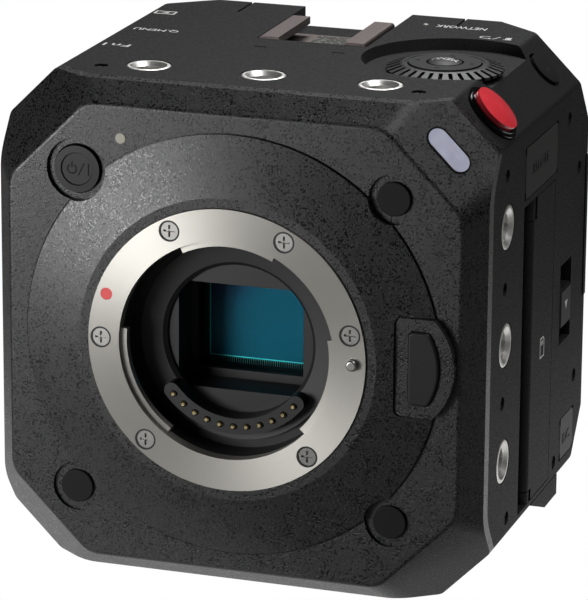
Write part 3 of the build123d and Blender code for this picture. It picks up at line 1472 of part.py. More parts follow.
def card_latch():
    """The slider: a knob in the slot and a foot that slides behind the wall."""
    front, rear, bottom, top = LATCH_SLOT
    gap = BUTTON_GAP
    foot_top = INNER - RUN_GAP
    knob_top = LATCH_KNOB_BOTTOM + LATCH_KNOB_HEIGHT
    knob = block((foot_top - 0.5, HALF + 0.2), (front + gap, rear - gap), (LATCH_KNOB_BOTTOM, knob_top))
    outer = knob.faces().sort_by(Axis.X)[-1].edges()
    foot_z = (bottom - 1.4, top + LATCH_TRAVEL + 1.2)
    foot = block((foot_top - LATCH_FOOT, foot_top), (front - 1.1, rear + 0.7), foot_z)
    return chamfer(outer, 0.5) + foot


def card_slots(inner, outer):
    """Two card slots, one above the other."""
    middle = (BAY_BOTTOM + BAY_TOP) / 2
    slots = []
    for z in (middle - CARD_WIDTH / 2 - 1.2, middle + CARD_WIDTH / 2 + 1.2):
        slot_z = (z - CARD_WIDTH / 2, z + CARD_WIDTH / 2)
        slots.append(block((inner, outer), (CARD_ROW - CARD_SLOT / 2, CARD_ROW + CARD_SLOT / 2), slot_z))
    return slots


def card_socket():
    """The double card cage on its four posts from the main board."""
    face = HALF - BAY_FLOOR - BAY_WALL
    middle = (BAY_BOTTOM + BAY_TOP) / 2
    half = CARD_WIDTH + 3.0
    inner = face - CARD_DEPTH
    cage = block((inner, face), (CARD_ROW - 4, CARD_ROW + 4), (middle - half, middle + half))
    for slot in card_slots(inner + 1.5, face + 1):
        cage -= slot
    for x in (inner + 3, face - 3):
        for z in (middle - half + 3, middle + half - 3):
            cage += rod(1.8, (x, board_back(), z), BACK, CARD_ROW - 4 - board_back())
    return cage


def socket_flap(limits):
    """A hinged flap with a rolled front edge and its two pivot stubs."""
    return flap_parts(limits)[1]


def jack_sockets():
    """Round sockets behind the flaps: remote, microphone and direct current."""
    jacks = []
    for y, z, bore in jack_places():
        mouth = HALF - SOCKET_BAY_DEPTH + JACK_STEP
        jack = rod(JACK_RADIUS, (mouth - JACK_LENGTH, y, z), RIGHT, JACK_LENGTH)
        jacks.append(jack - rod(bore, (mouth - JACK_BORE_DEPTH, y, z), RIGHT, JACK_BORE_DEPTH + 1))
    return jacks


# Boards and cooling

def board_back():
    return FRAME_DEPTH + BOARD_THICKNESS


def main_board():
    """The main board, seated on the frame's rear rim and clear of the record switch."""
    plate = octagon(COVER_WALL + BOARD_GAP, FRAME_DEPTH, board_back())
    card_edge = HALF - max(BAY_FLOOR, SOCKET_BAY_DEPTH) - BAY_WALL - BOARD_GAP
    return plate & block((-HALF, card_edge), (0, BODY_DEPTH), (-HALF, HALF - BOARD_TOP_INSET))


def heat_sink():
    """A base on the main board and a row of upright fins up to the fan."""
    half = FAN_SIZE / 2
    x_range = (FAN_X - half, FAN_X + half)
    base = block(x_range, (board_back(), board_back() + SINK_BASE), (-half, half))
    pitch = (FAN_SIZE - 1.2) / (SINK_FINS - 1)
    for i in range(SINK_FINS):
        x = FAN_X - half + i * pitch
        base += block((x, x + 1.2), (board_back(), board_back() + SINK_DEPTH), (-half, half))
    return base


def fan_front():
    return board_back() + SINK_DEPTH


def fan_housing():
    """The square fan frame with a round duct, three struts and the rotor's shaft."""
    front = fan_front()
    back = front + FAN_DEPTH
    frame = centred((FAN_SIZE, FAN_SIZE), (front, back), FAN_X)
    frame = fillet(frame.edges().filter_by(Axis.Y), 3.0)
    frame -= rod(FAN_BORE, (FAN_X, front, 0), BACK, FAN_DEPTH)
    frame += rod(FAN_HUB, (FAN_X, back - FAN_SPIDER, 0), BACK, FAN_SPIDER)
    arm = block((0, FAN_BORE + 0.8), (back - FAN_SPIDER, back), (-1.0, 1.0))
    for turn in (90, 210, 330):
        frame += Pos(FAN_X, 0, 0) * Rot(0, turn, 0) * arm
    return frame + rod(FAN_SHAFT, (FAN_X, front + 2, 0), BACK, FAN_DEPTH - 2)


def fan_rotor():
    """A cup-shaped hub with pitched blades, running on the shaft."""
    front = fan_front() + 0.8
    back = fan_front() + FAN_DEPTH - FAN_SPIDER - 0.3
    hub = rod(FAN_HUB, (FAN_X, front, 0), BACK, back - front)
    blade_length = FAN_BORE - FAN_BLADE_GAP - FAN_HUB + 1
    blade = Box(blade_length, 1.0, 8.5)
    middle = FAN_HUB - 1 + blade_length / 2
    blades = []
    for i in range(FAN_BLADES):
        pitched = Pos(FAN_X, (front + back) / 2, 0) * Rot(0, 360 * i / FAN_BLADES, 0)
        blades.append(pitched * Pos(middle, 0, 0) * Rot(42, 0, 0) * blade)
    rotor = hub
    for piece in blades:
        rotor += piece
    rotor = rotor & rod(FAN_BORE - FAN_BLADE_GAP, (FAN_X, front, 0), BACK, back - front)
    return rotor - rod(FAN_SHAFT + RUN_GAP, (FAN_X, front - 1, 0), BACK, back - front + 2)


def grille_outline(gap):
    half = GRILLE_HEIGHT / 2
    return rounded((GRILLE_FRONT + gap, GRILLE_REAR - gap), (-half + gap, half - gap), 2.0)


def exhaust_grille():
    """The louvred plate in the fan side."""
    plate = side_slab(grille_outline(SEAT_GAP), INNER, HALF)
    pitch = (GRILLE_HEIGHT - 4) / GRILLE_SLATS
    for i in range(GRILLE_SLATS):
        z = -GRILLE_HEIGHT / 2 + 2 + pitch * (i + 0.5)
        slot = rounded((GRILLE_FRONT + 2, GRILLE_REAR - 2), (z - 0.9, z + 0.9), 0.85)
        plate -= side_slab(slot, INNER - 1, HALF + 1)
    return mirrored(plate)


# Rear fittings

def battery_terminals():
    """The contact block on the bay's floor, with a slot for each blade."""
    floor = BODY_DEPTH - BATTERY_BAY_DEPTH
    width, height = CONTACT_BLOCK
    back = floor + CONTACT_BLOCK_THICKNESS
    low = BATTERY_BAY_BOTTOM + CONTACT_BLOCK_RISE
    body = block((-width / 2, width / 2), (floor, back), (low, low + height))
    for i in range(BLADE_SLOTS):
        x = (i - (BLADE_SLOTS - 1) / 2) * BLADE_PITCH
        slot_x = (x - BLADE_SLOT / 2, x + BLADE_SLOT / 2)
        body -= block(slot_x, (floor + BLADE_SLOT, back + 1), (low + BLADE_SLOT, low + height + 1))
    return body


def battery_release_room():
    x, z = release_key_place()
    width, height = RELEASE_KEY
    gap = BUTTON_GAP
    room = block(
        (x - width / 2 - gap, x + width / 2 + gap),
        (BODY_DEPTH - 6, BODY_DEPTH + 1),
        (z - height / 2 - gap - RELEASE_KEY_TRAVEL, z + height / 2 + gap),
    )
    return room


def release_key_place():
    return BNC_X, RELEASE_KEY_INSET - HALF


def battery_release():
    """The sliding key that frees the battery, with its foot behind the wall."""
    x, z = release_key_place()
    width, height = RELEASE_KEY
    wall_back = BODY_DEPTH - COVER_WALL
    key = centred((width, height), (wall_back - RELEASE_KEY_STAND, BODY_DEPTH + RELEASE_KEY_STAND), x, z)
    key = chamfer(key.faces().sort_by(Axis.Y)[-1].edges(), 0.6 * RELEASE_KEY_STAND)
    foot = RELEASE_KEY_FOOT
    foot_x = (x - width / 2 - foot, x + width / 2 + foot)
    foot_z = (z - height / 2 - foot, z + height / 2 + RELEASE_KEY_TRAVEL + foot)
    return key + block(foot_x, (wall_back - RUN_GAP - foot, wall_back - RUN_GAP), foot_z)


def bnc_sockets():
    """Three round bayonet sockets with their two lugs and a flange behind the wall."""
    sockets = []
    for z in BNC_ROWS:
        root = BODY_DEPTH - COVER_WALL - 2
        socket = rod(BNC_RADIUS + 1.1, (BNC_X, root, z), BACK, COVER_WALL + 2.6)
        socket += rod(BNC_RADIUS, (BNC_X, root, z), BACK, COVER_WALL + 2 + BNC_LENGTH)
        end = BODY_DEPTH + BNC_LENGTH
        socket -= rod(BNC_RADIUS - 0.7, (BNC_X, end - 7, z), BACK, 8)
        socket += rod(1.2, (BNC_X, end - 7, z), BACK, 5)
        for side in (RIGHT, LEFT):
            socket += rod(0.9, (BNC_X + side[0] * 3.9, end - 4, z), side, 1.8)
        sockets.append(socket)
    return sockets


def terminal_mouths(gap):
    """The two sockets under the rubber cover, as blocks through the rear wall."""
    left, bottom, top = TERMINAL_FLAP
    x = (left + HALF) / 2 - 1
    wall = (BODY_DEPTH - 8, BODY_DEPTH - TERMINAL_THICKNESS - BUTTON_GAP)
    return [
        centred(grown(VIDEO_PORT, gap), wall, x - 3.2, (bottom + top) / 2),
        centred(grown(BUS_PORT, gap), wall, x + 3.6, (bottom + top) / 2),
    ]


def data_sockets():
    """The network, video and bus sockets behind the rear wall."""
    x, z = NETWORK_CENTRE
    rear = BODY_DEPTH - 0.3
    network = centred(grown(NETWORK_SIZE, -SEAT_GAP), (rear - NETWORK_DEPTH, rear), x, z)
    depths = (rear - NETWORK_PORT_DEPTH, rear + 1)
    network -= centred(NETWORK_PORT, depths, x, z + NETWORK_STEP)
    latch_z = z + NETWORK_STEP - (NETWORK_PORT[1] + NETWORK_LATCH[1]) / 2 + 0.3
    network -= centred(NETWORK_LATCH, depths, x, latch_z)
    sockets = [network]
    for body, wall in zip(terminal_mouths(0.0), (0.6, 0.5)):
        box = body.bounding_box()
        size = (box.size.X - 2 * wall, box.size.Z - 2 * wall)
        centre = box.center()
        hole = centred(size, (box.min.Y + 1.5, box.max.Y + 1), centre.X, centre.Z)
        tongue = centred((0.8, size[1] - 2.0), (box.min.Y + 1, box.max.Y - 1.0), centre.X, centre.Z)
        sockets.append(body - hole + tongue)
    return sockets


def terminal_hinge():
    """The terminal cover's hinge line: along its inner edge."""
    half = TERMINAL_THICKNESS / 2
    return TERMINAL_FLAP[0] + half, BODY_DEPTH - half


def terminal_cover():
    """The rubber cover at the rear edge, with a rolled inner edge and two stubs."""
    left, bottom, top = TERMINAL_FLAP
    x, y = terminal_hinge()
    half = TERMINAL_THICKNESS / 2
    plate = block((x, HALF + 0.2), (BODY_DEPTH - TERMINAL_THICKNESS, BODY_DEPTH), (bottom, top))
    plate += rod(half, (x, y, bottom), UP, top - bottom)
    return plate + rod(FLAP_PIN, (x, y, bottom - FLAP_PIN_LENGTH), UP, top - bottom + 2 * FLAP_PIN_LENGTH)


def terminal_pin_room():
    left, bottom, top = TERMINAL_FLAP
    x, y = terminal_hinge()
    length = FLAP_PIN_LENGTH + BUTTON_GAP
    return rod(FLAP_PIN + RUN_GAP, (x, y, bottom - length), UP, top - bottom + 2 * length)


# Assembly

def without(shape, cutters):
    for cutter in cutters:
        shape = shape - cutter
    return shape


def all_pieces():
    """Every node's name with its solid or its list of solids."""
    holes = insert_holes() + cover_screw_holes()
    pieces = {
        "front_cover": front_cover(),
        "mount_surround": mount_surround(),
        "main_frame": without(main_frame(), holes),
        "top_cover": without(top_cover(), holes),
        "bottom_cover": without(bottom_cover(), holes),
        "card_side_cover": without(card_side_cover(), holes),
        "fan_side_cover": without(fan_side_cover(), holes),
        "rear_cover": without(rear_cover() - terminal_pin_room(), cover_screw_holes()),
        "lens_mount_ring": mount_ring(),
        "mount_screws": mount_screws(),
        "mount_index_dot": mount_index_dot(),
        "mount_springs": mount_springs(),
        "mount_throat": mount_throat(),
        "contact_pins": contact_pins(),
        "lens_lock_pin": lens_lock_pin(),
        "lens_release_button": lens_release_button(),
        "sensor_frame": sensor_frame(),
        "sensor_filter": sensor_filter(),
        "image_sensor": image_sensor(),
        "sensor_board": sensor_board(),
        "heat_spreader": heat_spreader(),
        "power_button": power_button(),
        "power_lamp": power_lamp(),
        "tally_lamp": tally_lamp(),
        "socket_caps": socket_caps(),
        "record_button": shoulder_button("record"),
        "delete_button": shoulder_button("delete"),
        "function_button": shoulder_button("function"),
        "playback_button": shoulder_button("playback"),
        "record_collar": record_collar(),
        "key_switches": key_switches(),
        "control_dial": control_dial(),
        "dial_hub": dial_hub(),
        "cursor_carrier": cursor_carrier(),
        "cursor_ring": cursor_ring(),
        "menu_button": menu_button(),
        "shoe_rails": shoe_rails(),
        "shoe_spring": shoe_spring(),
        "cover_screws": cover_screws() + front_screws(),
        "card_door": card_door(),
        "door_pins": door_pins(),
        "card_latch": card_latch(),
        "card_socket": card_socket(),
        "remote_flap": socket_flap(REMOTE_FLAP),
        "dc_flap": socket_flap(DC_FLAP),
        "jack_sockets": jack_sockets(),
        "main_board": main_board(),
        "heat_sink": heat_sink(),
        "fan_housing": fan_housing(),
        "fan_rotor": fan_rotor(),
        "exhaust_grille": exhaust_grille(),
        "battery_terminals": battery_terminals(),
        "battery_release": battery_release(),
        "bnc_sockets": bnc_sockets(),
        "data_sockets": data_sockets(),
        "terminal_cover": terminal_cover(),
    }
    for name in insert_planes():
        pieces[name] = inserts(name)
    return pieces


def save(name, shape):
    """Move a piece to the part's frame and write it."""
    solids = shape if isinstance(shape, list) else shape.solids()
    placed = [Pos(0, -INSERT_ROW, HALF) * solid for solid in solids]
    whole = placed[0] if len(placed) == 1 else Compound(children=placed)
    export_step(whole, "parts/" + name + ".step")


def main():
    os.makedirs("parts", exist_ok=True)
    for name, shape in all_pieces().items():
        save(name, shape)


main()
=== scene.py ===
"""Looks of the box video camera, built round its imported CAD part.

The sections follow the camera as it is put together. Places are given in millimetres from the
optical axis at the flat front face: x towards the card side, y to the rear, z up. place()
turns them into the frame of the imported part, in metres.
"""
import math

import bmesh
import bpy
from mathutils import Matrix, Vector


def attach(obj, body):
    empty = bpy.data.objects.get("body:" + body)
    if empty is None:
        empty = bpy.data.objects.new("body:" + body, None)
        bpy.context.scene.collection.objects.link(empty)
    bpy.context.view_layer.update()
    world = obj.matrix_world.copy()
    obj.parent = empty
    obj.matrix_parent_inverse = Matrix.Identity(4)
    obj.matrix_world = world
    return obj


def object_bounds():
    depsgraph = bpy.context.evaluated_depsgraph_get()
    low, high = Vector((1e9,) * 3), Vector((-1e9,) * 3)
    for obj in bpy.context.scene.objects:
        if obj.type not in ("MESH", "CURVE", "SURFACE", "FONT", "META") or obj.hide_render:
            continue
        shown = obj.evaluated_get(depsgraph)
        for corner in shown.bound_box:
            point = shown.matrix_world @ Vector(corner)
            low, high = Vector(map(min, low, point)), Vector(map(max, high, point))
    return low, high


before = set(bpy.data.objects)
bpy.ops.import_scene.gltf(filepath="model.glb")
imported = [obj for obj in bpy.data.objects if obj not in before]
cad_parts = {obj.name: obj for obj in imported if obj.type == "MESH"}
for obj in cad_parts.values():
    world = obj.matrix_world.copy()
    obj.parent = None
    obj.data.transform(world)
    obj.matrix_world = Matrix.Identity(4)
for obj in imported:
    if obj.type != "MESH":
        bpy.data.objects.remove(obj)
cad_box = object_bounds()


# The studio: the camera stands on a matt grey sweep with a white patch, like a light table, under
# and behind it, turned square to the lens. The patch shows white to the lens and in reflections
# and keeps the shadow. Soft boxes light the camera: the main pair stands low at the front left.

MM = 0.001
AXIS_TO_PART = Vector((0.0, -17.3, 46.5))


def place(x, y, z):
    """A point of the drawings, in metres of the part's frame."""
    return (Vector((x, y, z)) + AXIS_TO_PART) * MM


def linear(hex_colour):
    """An sRGB hex colour as linear RGBA."""
    channels = [int(hex_colour[i:i + 2], 16) / 255 for i in (1, 3, 5)]
    return [c / 12.92 if c <= 0.04045 else ((c + 0.055) / 1.055) ** 2.4 for c in channels] + [1.0]


def add_node(tree, kind, inputs=None, **settings):
    """Adds a node, sets its properties, and sets or links its inputs by name or number."""
    node = tree.nodes.new(kind)
    for key, value in settings.items():
        setattr(node, key, value)
    for key, value in (inputs or {}).items():
        if isinstance(value, bpy.types.NodeSocket):
            tree.links.new(value, node.inputs[key])
        else:
            node.inputs[key].default_value = value
    return node


def start_material(name, colour, **values):
    """A material with one Principled shader, its tree and the shader."""
    material = bpy.data.materials.new(name)
    material.use_nodes = True
    shader = material.node_tree.nodes["Principled BSDF"]
    shader.inputs["Base Color"].default_value = linear(colour)
    for key, value in values.items():
        shader.inputs[key.replace("_", " ")].default_value = value
    return material, material.node_tree, shader


# The patch along its two directions, in metres: clear, full, full and clear again.
PATCH = ((-0.105, -0.085, 0.11, 0.13), (-0.0295, -0.0235, 0.52, 0.58))
PATCH_TURN = 19.5

paper, tree, shader = start_material("matt_grey_sweep", "#7C7C7A", Roughness=0.9)
rays = add_node(tree, "ShaderNodeLightPath")
seen = add_node(tree, "ShaderNodeMath", {0: rays.outputs["Is Camera Ray"], 1: rays.outputs["Is Glossy Ray"]},
                operation="MAXIMUM")
seen = add_node(tree, "ShaderNodeMath", {0: seen.outputs[0], 1: rays.outputs["Is Transmission Ray"]},
                operation="MAXIMUM")
coords = add_node(tree, "ShaderNodeTexCoord")
squared = add_node(tree, "ShaderNodeVectorRotate",
                   {"Vector": coords.outputs["Object"], "Angle": -math.radians(PATCH_TURN)}, rotation_type="Z_AXIS")
spot = add_node(tree, "ShaderNodeSeparateXYZ", {0: squared.outputs[0]})
for axis, (start, full, fading, end) in zip("XY", PATCH):
    for outside, inside in ((start, full), (end, fading)):
        share = add_node(tree, "ShaderNodeMapRange", {"Value": spot.outputs[axis], 1: outside, 2: inside},
                         interpolation_type="SMOOTHSTEP")
        seen = add_node(tree, "ShaderNodeMath", {0: seen.outputs[0], 1: share.outputs[0]}, operation="MULTIPLY")
white = add_node(tree, "ShaderNodeEmission", {"Color": (1, 1, 1, 1), "Strength": 1.0})
mix = add_node(tree, "ShaderNodeMixShader", {"Fac": seen.outputs[0], 1: shader.outputs[0], 2: white.outputs[0]})
tree.links.new(mix.outputs[0], tree.nodes["Material Output"].inputs["Surface"])

SWEEP_PROFILE = ((-1.6, 0.0), (0.9, 0.0), (1.1, 0.03), (1.25, 0.12), (1.33, 0.3), (1.35, 1.6))
SWEEP_REACH = 2.2
SWEEP_GAP = 0.0002

ground = cad_box[0].z
mesh = bpy.data.meshes.new("studio_sweep")
sweep = bmesh.new()
rows = [[sweep.verts.new((x, y, ground - SWEEP_GAP + z)) for y, z in SWEEP_PROFILE]
        for x in (-SWEEP_REACH, SWEEP_REACH)]
for i in range(len(SWEEP_PROFILE) - 1):
    sweep.faces.new((rows[0][i], rows[1][i], rows[1][i + 1], rows[0][i + 1]))
sweep.to_mesh(mesh)
sweep.free()
backdrop = bpy.data.objects.new("studio_sweep", mesh)
bpy.context.scene.collection.objects.link(backdrop)
mesh.materials.append(paper)

AIR_LIGHT = 0.06
world = bpy.data.worlds.new("studio_air")
bpy.context.scene.world = world
world.use_nodes = True
air = world.node_tree.nodes["Background"]
air.inputs["Color"].default_value = (1, 1, 1, 1)
air.inputs["Strength"].default_value = AIR_LIGHT

# Each soft box: where it stands, its two sides and its power.
LAMP_AIM = Vector((0, 0.01, 0.045))
SOFT_BOXES = {
    "key_box": ((-0.22, -0.34, 0.075), (0.12, 0.16), 1.15),
    "left_box": ((-0.26, -0.30, 0.065), (0.10, 0.12), 0.6),
    "rear_top_box": ((-0.05, 0.40, 0.60), (0.30, 0.25), 3.2),
    "right_box": ((0.30, 0.00, 0.60), (0.20, 0.20), 2.9),
}
for name, (at, size, power) in SOFT_BOXES.items():
    lamp = bpy.data.lights.new(name, "AREA")
    lamp.shape = "RECTANGLE"
    lamp.size, lamp.size_y = size
    lamp.energy = power
    box = bpy.data.objects.new(name, lamp)
    bpy.context.scene.collection.objects.link(box)
    box.location = at
    box.rotation_euler = (LAMP_AIM - Vector(at)).to_track_quat("-Z", "Y").to_euler()

lens = bpy.data.cameras.new("photo_camera")
lens.sensor_fit = "HORIZONTAL"
lens.sensor_width = 36.0
lens.lens = 246.125
lens.shift_x = 0.021426
lens.shift_y = -0.026624
lens.clip_start = 0.05
lens.clip_end = 20.0
camera = bpy.data.objects.new("photo_camera", lens)
bpy.context.scene.collection.objects.link(camera)
camera.location = (0.228558, -0.672199, 0.261658)
camera.rotation_euler = [math.radians(a) for a in (73.65306, -0.34559, 18.59976)]
bpy.context.scene.camera = camera
bpy.context.scene.view_settings.view_transform = "Standard"


# The front cover and the cone round the mount: die-cast magnesium, sprayed with a dark grey
# paint that carries black flakes in loose clusters. The flakes are smoother than the paint, so
# they stay black in the shade and glint where the key light falls.

def dress(names, material):
    """Gives CAD nodes their material."""
    for name in names:
        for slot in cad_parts[name].material_slots:
            slot.material = material


def object_mm(tree):
    """Object coordinates in millimetres."""
    coords = add_node(tree, "ShaderNodeTexCoord")
    return add_node(tree, "ShaderNodeVectorMath", {0: coords.outputs["Object"], "Scale": 1 / MM},
                    operation="SCALE").outputs[0]


FLAKE_WIDTH = 0.40
FLAKE_CLUSTER = 3.5
CLUSTER_PULL = 0.30
FLAKE_EDGE = (0.712, 0.726)
FLAKE_DIP = -0.3
GLINT_WIDTH = 0.34
GLINT_EDGE = (0.60, 0.68)
GLINT_RISE = 0.7
GRAIN_WIDTH = 0.2

speckle, tree, shader = start_material("flaked_camera_paint", "#1C1C1D")
shader.inputs["Specular IOR Level"].default_value = 0.33
position = object_mm(tree)
shapes = add_node(tree, "ShaderNodeTexNoise", {"Vector": position, "Scale": 1 / FLAKE_WIDTH, "Detail": 1.0})
cluster = add_node(tree, "ShaderNodeTexNoise", {"Vector": position, "Scale": 1 / FLAKE_CLUSTER, "Detail": 1.0})
gathered = add_node(tree, "ShaderNodeMath",
                    {0: cluster.outputs["Fac"], 1: CLUSTER_PULL, 2: shapes.outputs["Fac"]}, operation="MULTIPLY_ADD")
flake = add_node(tree, "ShaderNodeMapRange", {"Value": gathered.outputs[0], 1: FLAKE_EDGE[0], 2: FLAKE_EDGE[1]})
drift = add_node(tree, "ShaderNodeVectorMath", {0: position, 1: (31.0, 7.0, 13.0)}, operation="ADD")
worms = add_node(tree, "ShaderNodeTexNoise",
                 {"Vector": drift.outputs[0], "Scale": 1 / GLINT_WIDTH, "Distortion": 0.8})
glint = add_node(tree, "ShaderNodeMapRange", {"Value": worms.outputs["Fac"], 1: GLINT_EDGE[0], 2: GLINT_EDGE[1]})
tone = add_node(tree, "ShaderNodeMix", {0: glint.outputs[0], 6: linear("#1C1C1D"), 7: linear("#2B2B2C")},
                data_type="RGBA")
colour = add_node(tree, "ShaderNodeMix", {0: flake.outputs[0], 6: tone.outputs[2], 7: linear("#020202")},
                  data_type="RGBA")
tree.links.new(colour.outputs[2], shader.inputs["Base Color"])
shine = add_node(tree, "ShaderNodeMapRange", {"Value": flake.outputs[0], 3: 0.375, 4: 0.27})
tree.links.new(shine.outputs[0], shader.inputs["Roughness"])
grain = add_node(tree, "ShaderNodeTexNoise", {"Vector": position, "Scale": 1 / GRAIN_WIDTH, "Detail": 1.0})
raised = add_node(tree, "ShaderNodeMath", {0: glint.outputs[0], 1: GLINT_RISE, 2: grain.outputs["Fac"]},
                  operation="MULTIPLY_ADD")
height = add_node(tree, "ShaderNodeMath", {0: flake.outputs[0], 1: FLAKE_DIP, 2: raised.outputs[0]},
                  operation="MULTIPLY_ADD")
bump = add_node(tree, "ShaderNodeBump", {"Height": height.outputs[0], "Strength": 0.6, "Distance": 0.00005})
tree.links.new(bump.outputs[0], shader.inputs["Normal"])
dress(["front_cover", "mount_surround"], speckle)


# The top, bottom, side and rear covers, the card door and the grille: the same castings and
# sheet under a plain matt paint with a fine even grain, which shows as a soft grey bloom. The
# grain is drawn about three times too coarse, so that it shows.

FINE_GRAIN_WIDTH = 0.3125

fine_paint, tree, shader = start_material("fine_grained_matt_paint", "#151516", Roughness=0.65)
shader.inputs["Specular IOR Level"].default_value = 0.12
position = object_mm(tree)
grain = add_node(tree, "ShaderNodeTexNoise",
                 {"Vector": position, "Scale": 1 / FINE_GRAIN_WIDTH, "Detail": 3.0, "Roughness": 0.6})
tone = add_node(tree, "ShaderNodeMapRange", {"Value": grain.outputs["Fac"], 1: 0.3, 2: 0.7})
colour = add_node(tree, "ShaderNodeMix", {0: tone.outputs[0], 6: linear("#0C0C0D"), 7: linear("#1B1B1C")},
                  data_type="RGBA")
tree.links.new(colour.outputs[2], shader.inputs["Base Color"])
shine = add_node(tree, "ShaderNodeMapRange", {"Value": grain.outputs["Fac"], 1: 0.3, 2: 0.7, 3: 0.75, 4: 0.5})
tree.links.new(shine.outputs[0], shader.inputs["Roughness"])
bump = add_node(tree, "ShaderNodeBump", {"Height": grain.outputs["Fac"], "Strength": 0.6, "Distance": 0.00006})
tree.links.new(bump.outputs[0], shader.inputs["Normal"])
dress(["top_cover", "bottom_cover", "card_side_cover", "fan_side_cover", "rear_cover", "card_door",
       "exhaust_grille"], fine_paint)


# The mount ring: chrome-plated brass, faced on a lathe. The fine turning lines draw the light
# out into two bright fans, and the plating has a faintly warm grey tone. The lines are drawn
# at nine to the millimetre, coarser than the lathe leaves them, so that they show.

TURNING_LINES = 9.0

faced_chrome, tree, shader = start_material("lathe_turned_chrome", "#918F8A", Metallic=1.0, Roughness=0.44,
                                            Anisotropic=0.6, Anisotropic_Rotation=0.25)
position = object_mm(tree)
centred = add_node(tree, "ShaderNodeVectorMath", {0: position, 1: AXIS_TO_PART}, operation="SUBTRACT")
flat = add_node(tree, "ShaderNodeVectorMath", {0: centred.outputs[0], 1: (1, 0, 1)}, operation="MULTIPLY")
radius = add_node(tree, "ShaderNodeVectorMath", {0: flat.outputs[0]}, operation="LENGTH")
lines = add_node(tree, "ShaderNodeTexNoise", {"W": radius.outputs["Value"], "Scale": TURNING_LINES, "Detail": 3.0},
                 noise_dimensions="1D")
shine = add_node(tree, "ShaderNodeMapRange", {"Value": lines.outputs["Fac"], 1: 0.3, 2: 0.7, 3: 0.40, 4: 0.48})
tree.links.new(shine.outputs[0], shader.inputs["Roughness"])
tangent = add_node(tree, "ShaderNodeTangent", direction_type="RADIAL", axis="Y")
tree.links.new(tangent.outputs[0], shader.inputs["Tangent"])
dress(["lens_mount_ring"], faced_chrome)


# The six screws of the ring, the lock pin and the three leaf springs behind the claws: plated
# or spring steel, rolled or headed, with small handling marks in the sheen.

def brushed_metal(name, colour, rough_low, rough_high, mark_width):
    """A plain metal whose sheen varies in small patches."""
    material, tree, shader = start_material(name, colour, Metallic=1.0)
    patches = add_node(tree, "ShaderNodeTexNoise",
                       {"Vector": object_mm(tree), "Scale": 1 / mark_width, "Detail": 3.0})
    shine = add_node(tree, "ShaderNodeMapRange",
                     {"Value": patches.outputs["Fac"], 1: 0.3, 2: 0.7, 3: rough_low, 4: rough_high})
    tree.links.new(shine.outputs[0], shader.inputs["Roughness"])
    bump = add_node(tree, "ShaderNodeBump", {"Height": patches.outputs["Fac"], "Strength": 0.15, "Distance": 0.00001})
    tree.links.new(bump.outputs[0], shader.inputs["Normal"])
    return material


screw_head = brushed_metal("nickel_plated_screw_steel", "#8C8B88", 0.3, 0.36, 0.5)
spring = brushed_metal("rolled_spring_steel", "#A9A8A4", 0.28, 0.42, 0.8)
dress(["mount_screws", "lens_lock_pin"], screw_head)
dress(["mount_springs"], spring)


# Round each screw of the ring runs a dark line of painted shadow: a thin black ring laid in the
# shaded gap between the head and the chamfered edge of its counterbore.

RING_FACE = -3.3
SCREW_CIRCLE = 24.0
SCREW_ANGLES = (12.8, 62.9, 116.6, 179.4, 230.0, 310.5)
RIM_OUTER = 2.0
RIM_INNER = 1.68
UP = Vector((0, 0, 1))
REAR = Vector((0, 1, 0))
RIGHT = Vector((1, 0, 0))
FACE_UP = (-RIGHT, -REAR, UP)
FACE_FRONT = (RIGHT, UP, -REAR)
FACE_SIDE = (REAR, UP, RIGHT)
INK_DEPTH = 0.02


def grained(tree, shader, low, high, scale, detail=1.0):
    """Clouds the base colour between two tones, and gives the noise that does it."""
    grain = add_node(tree, "ShaderNodeTexNoise", {"Vector": object_mm(tree), "Scale": scale, "Detail": detail})
    colour = add_node(tree, "ShaderNodeMix", {0: grain.outputs["Fac"], 6: linear(low), 7: linear(high)},
                      data_type="RGBA")
    tree.links.new(colour.outputs[2], shader.inputs["Base Color"])
    return grain.outputs["Fac"]


def moulded_plastic(name, low, high, rough, grain_width, specular=0.3, depth=0.00002):
    """A moulded plastic with a fine eroded grain."""
    material, tree, shader = start_material(name, low, Roughness=rough)
    shader.inputs["Specular IOR Level"].default_value = specular
    grain = grained(tree, shader, low, high, 1 / grain_width, 3.0)
    bump = add_node(tree, "ShaderNodeBump", {"Height": grain, "Strength": 0.4, "Distance": depth})
    tree.links.new(bump.outputs[0], shader.inputs["Normal"])
    return material


def flat_outline(curve):
    """A filled curve or text as a mesh."""
    holder = bpy.data.objects.new(curve.name, curve)
    bpy.context.scene.collection.objects.link(holder)
    bpy.context.view_layer.update()
    ready = holder.evaluated_get(bpy.context.evaluated_depsgraph_get())
    mesh = bpy.data.meshes.new_from_object(ready)
    bpy.data.objects.remove(holder)
    return mesh


def sign(name, loops):
    """A flat sign from closed loops of points; a loop inside another is a hole."""
    curve = bpy.data.curves.new(name, "CURVE")
    curve.dimensions = "2D"
    curve.fill_mode = "BOTH"
    curve.extrude = 0.5
    for loop in loops:
        spline = curve.splines.new("POLY")
        spline.points.add(len(loop) - 1)
        for point, (u, v) in zip(spline.points, loop):
            point.co = (u, v, 0, 1)
        spline.use_cyclic_u = True
    return flat_outline(curve)


def circle(radius, steps=36):
    """A closed round loop."""
    turns = [2 * math.pi * i / steps for i in range(steps)]
    return [(radius * math.cos(t), radius * math.sin(t)) for t in turns]


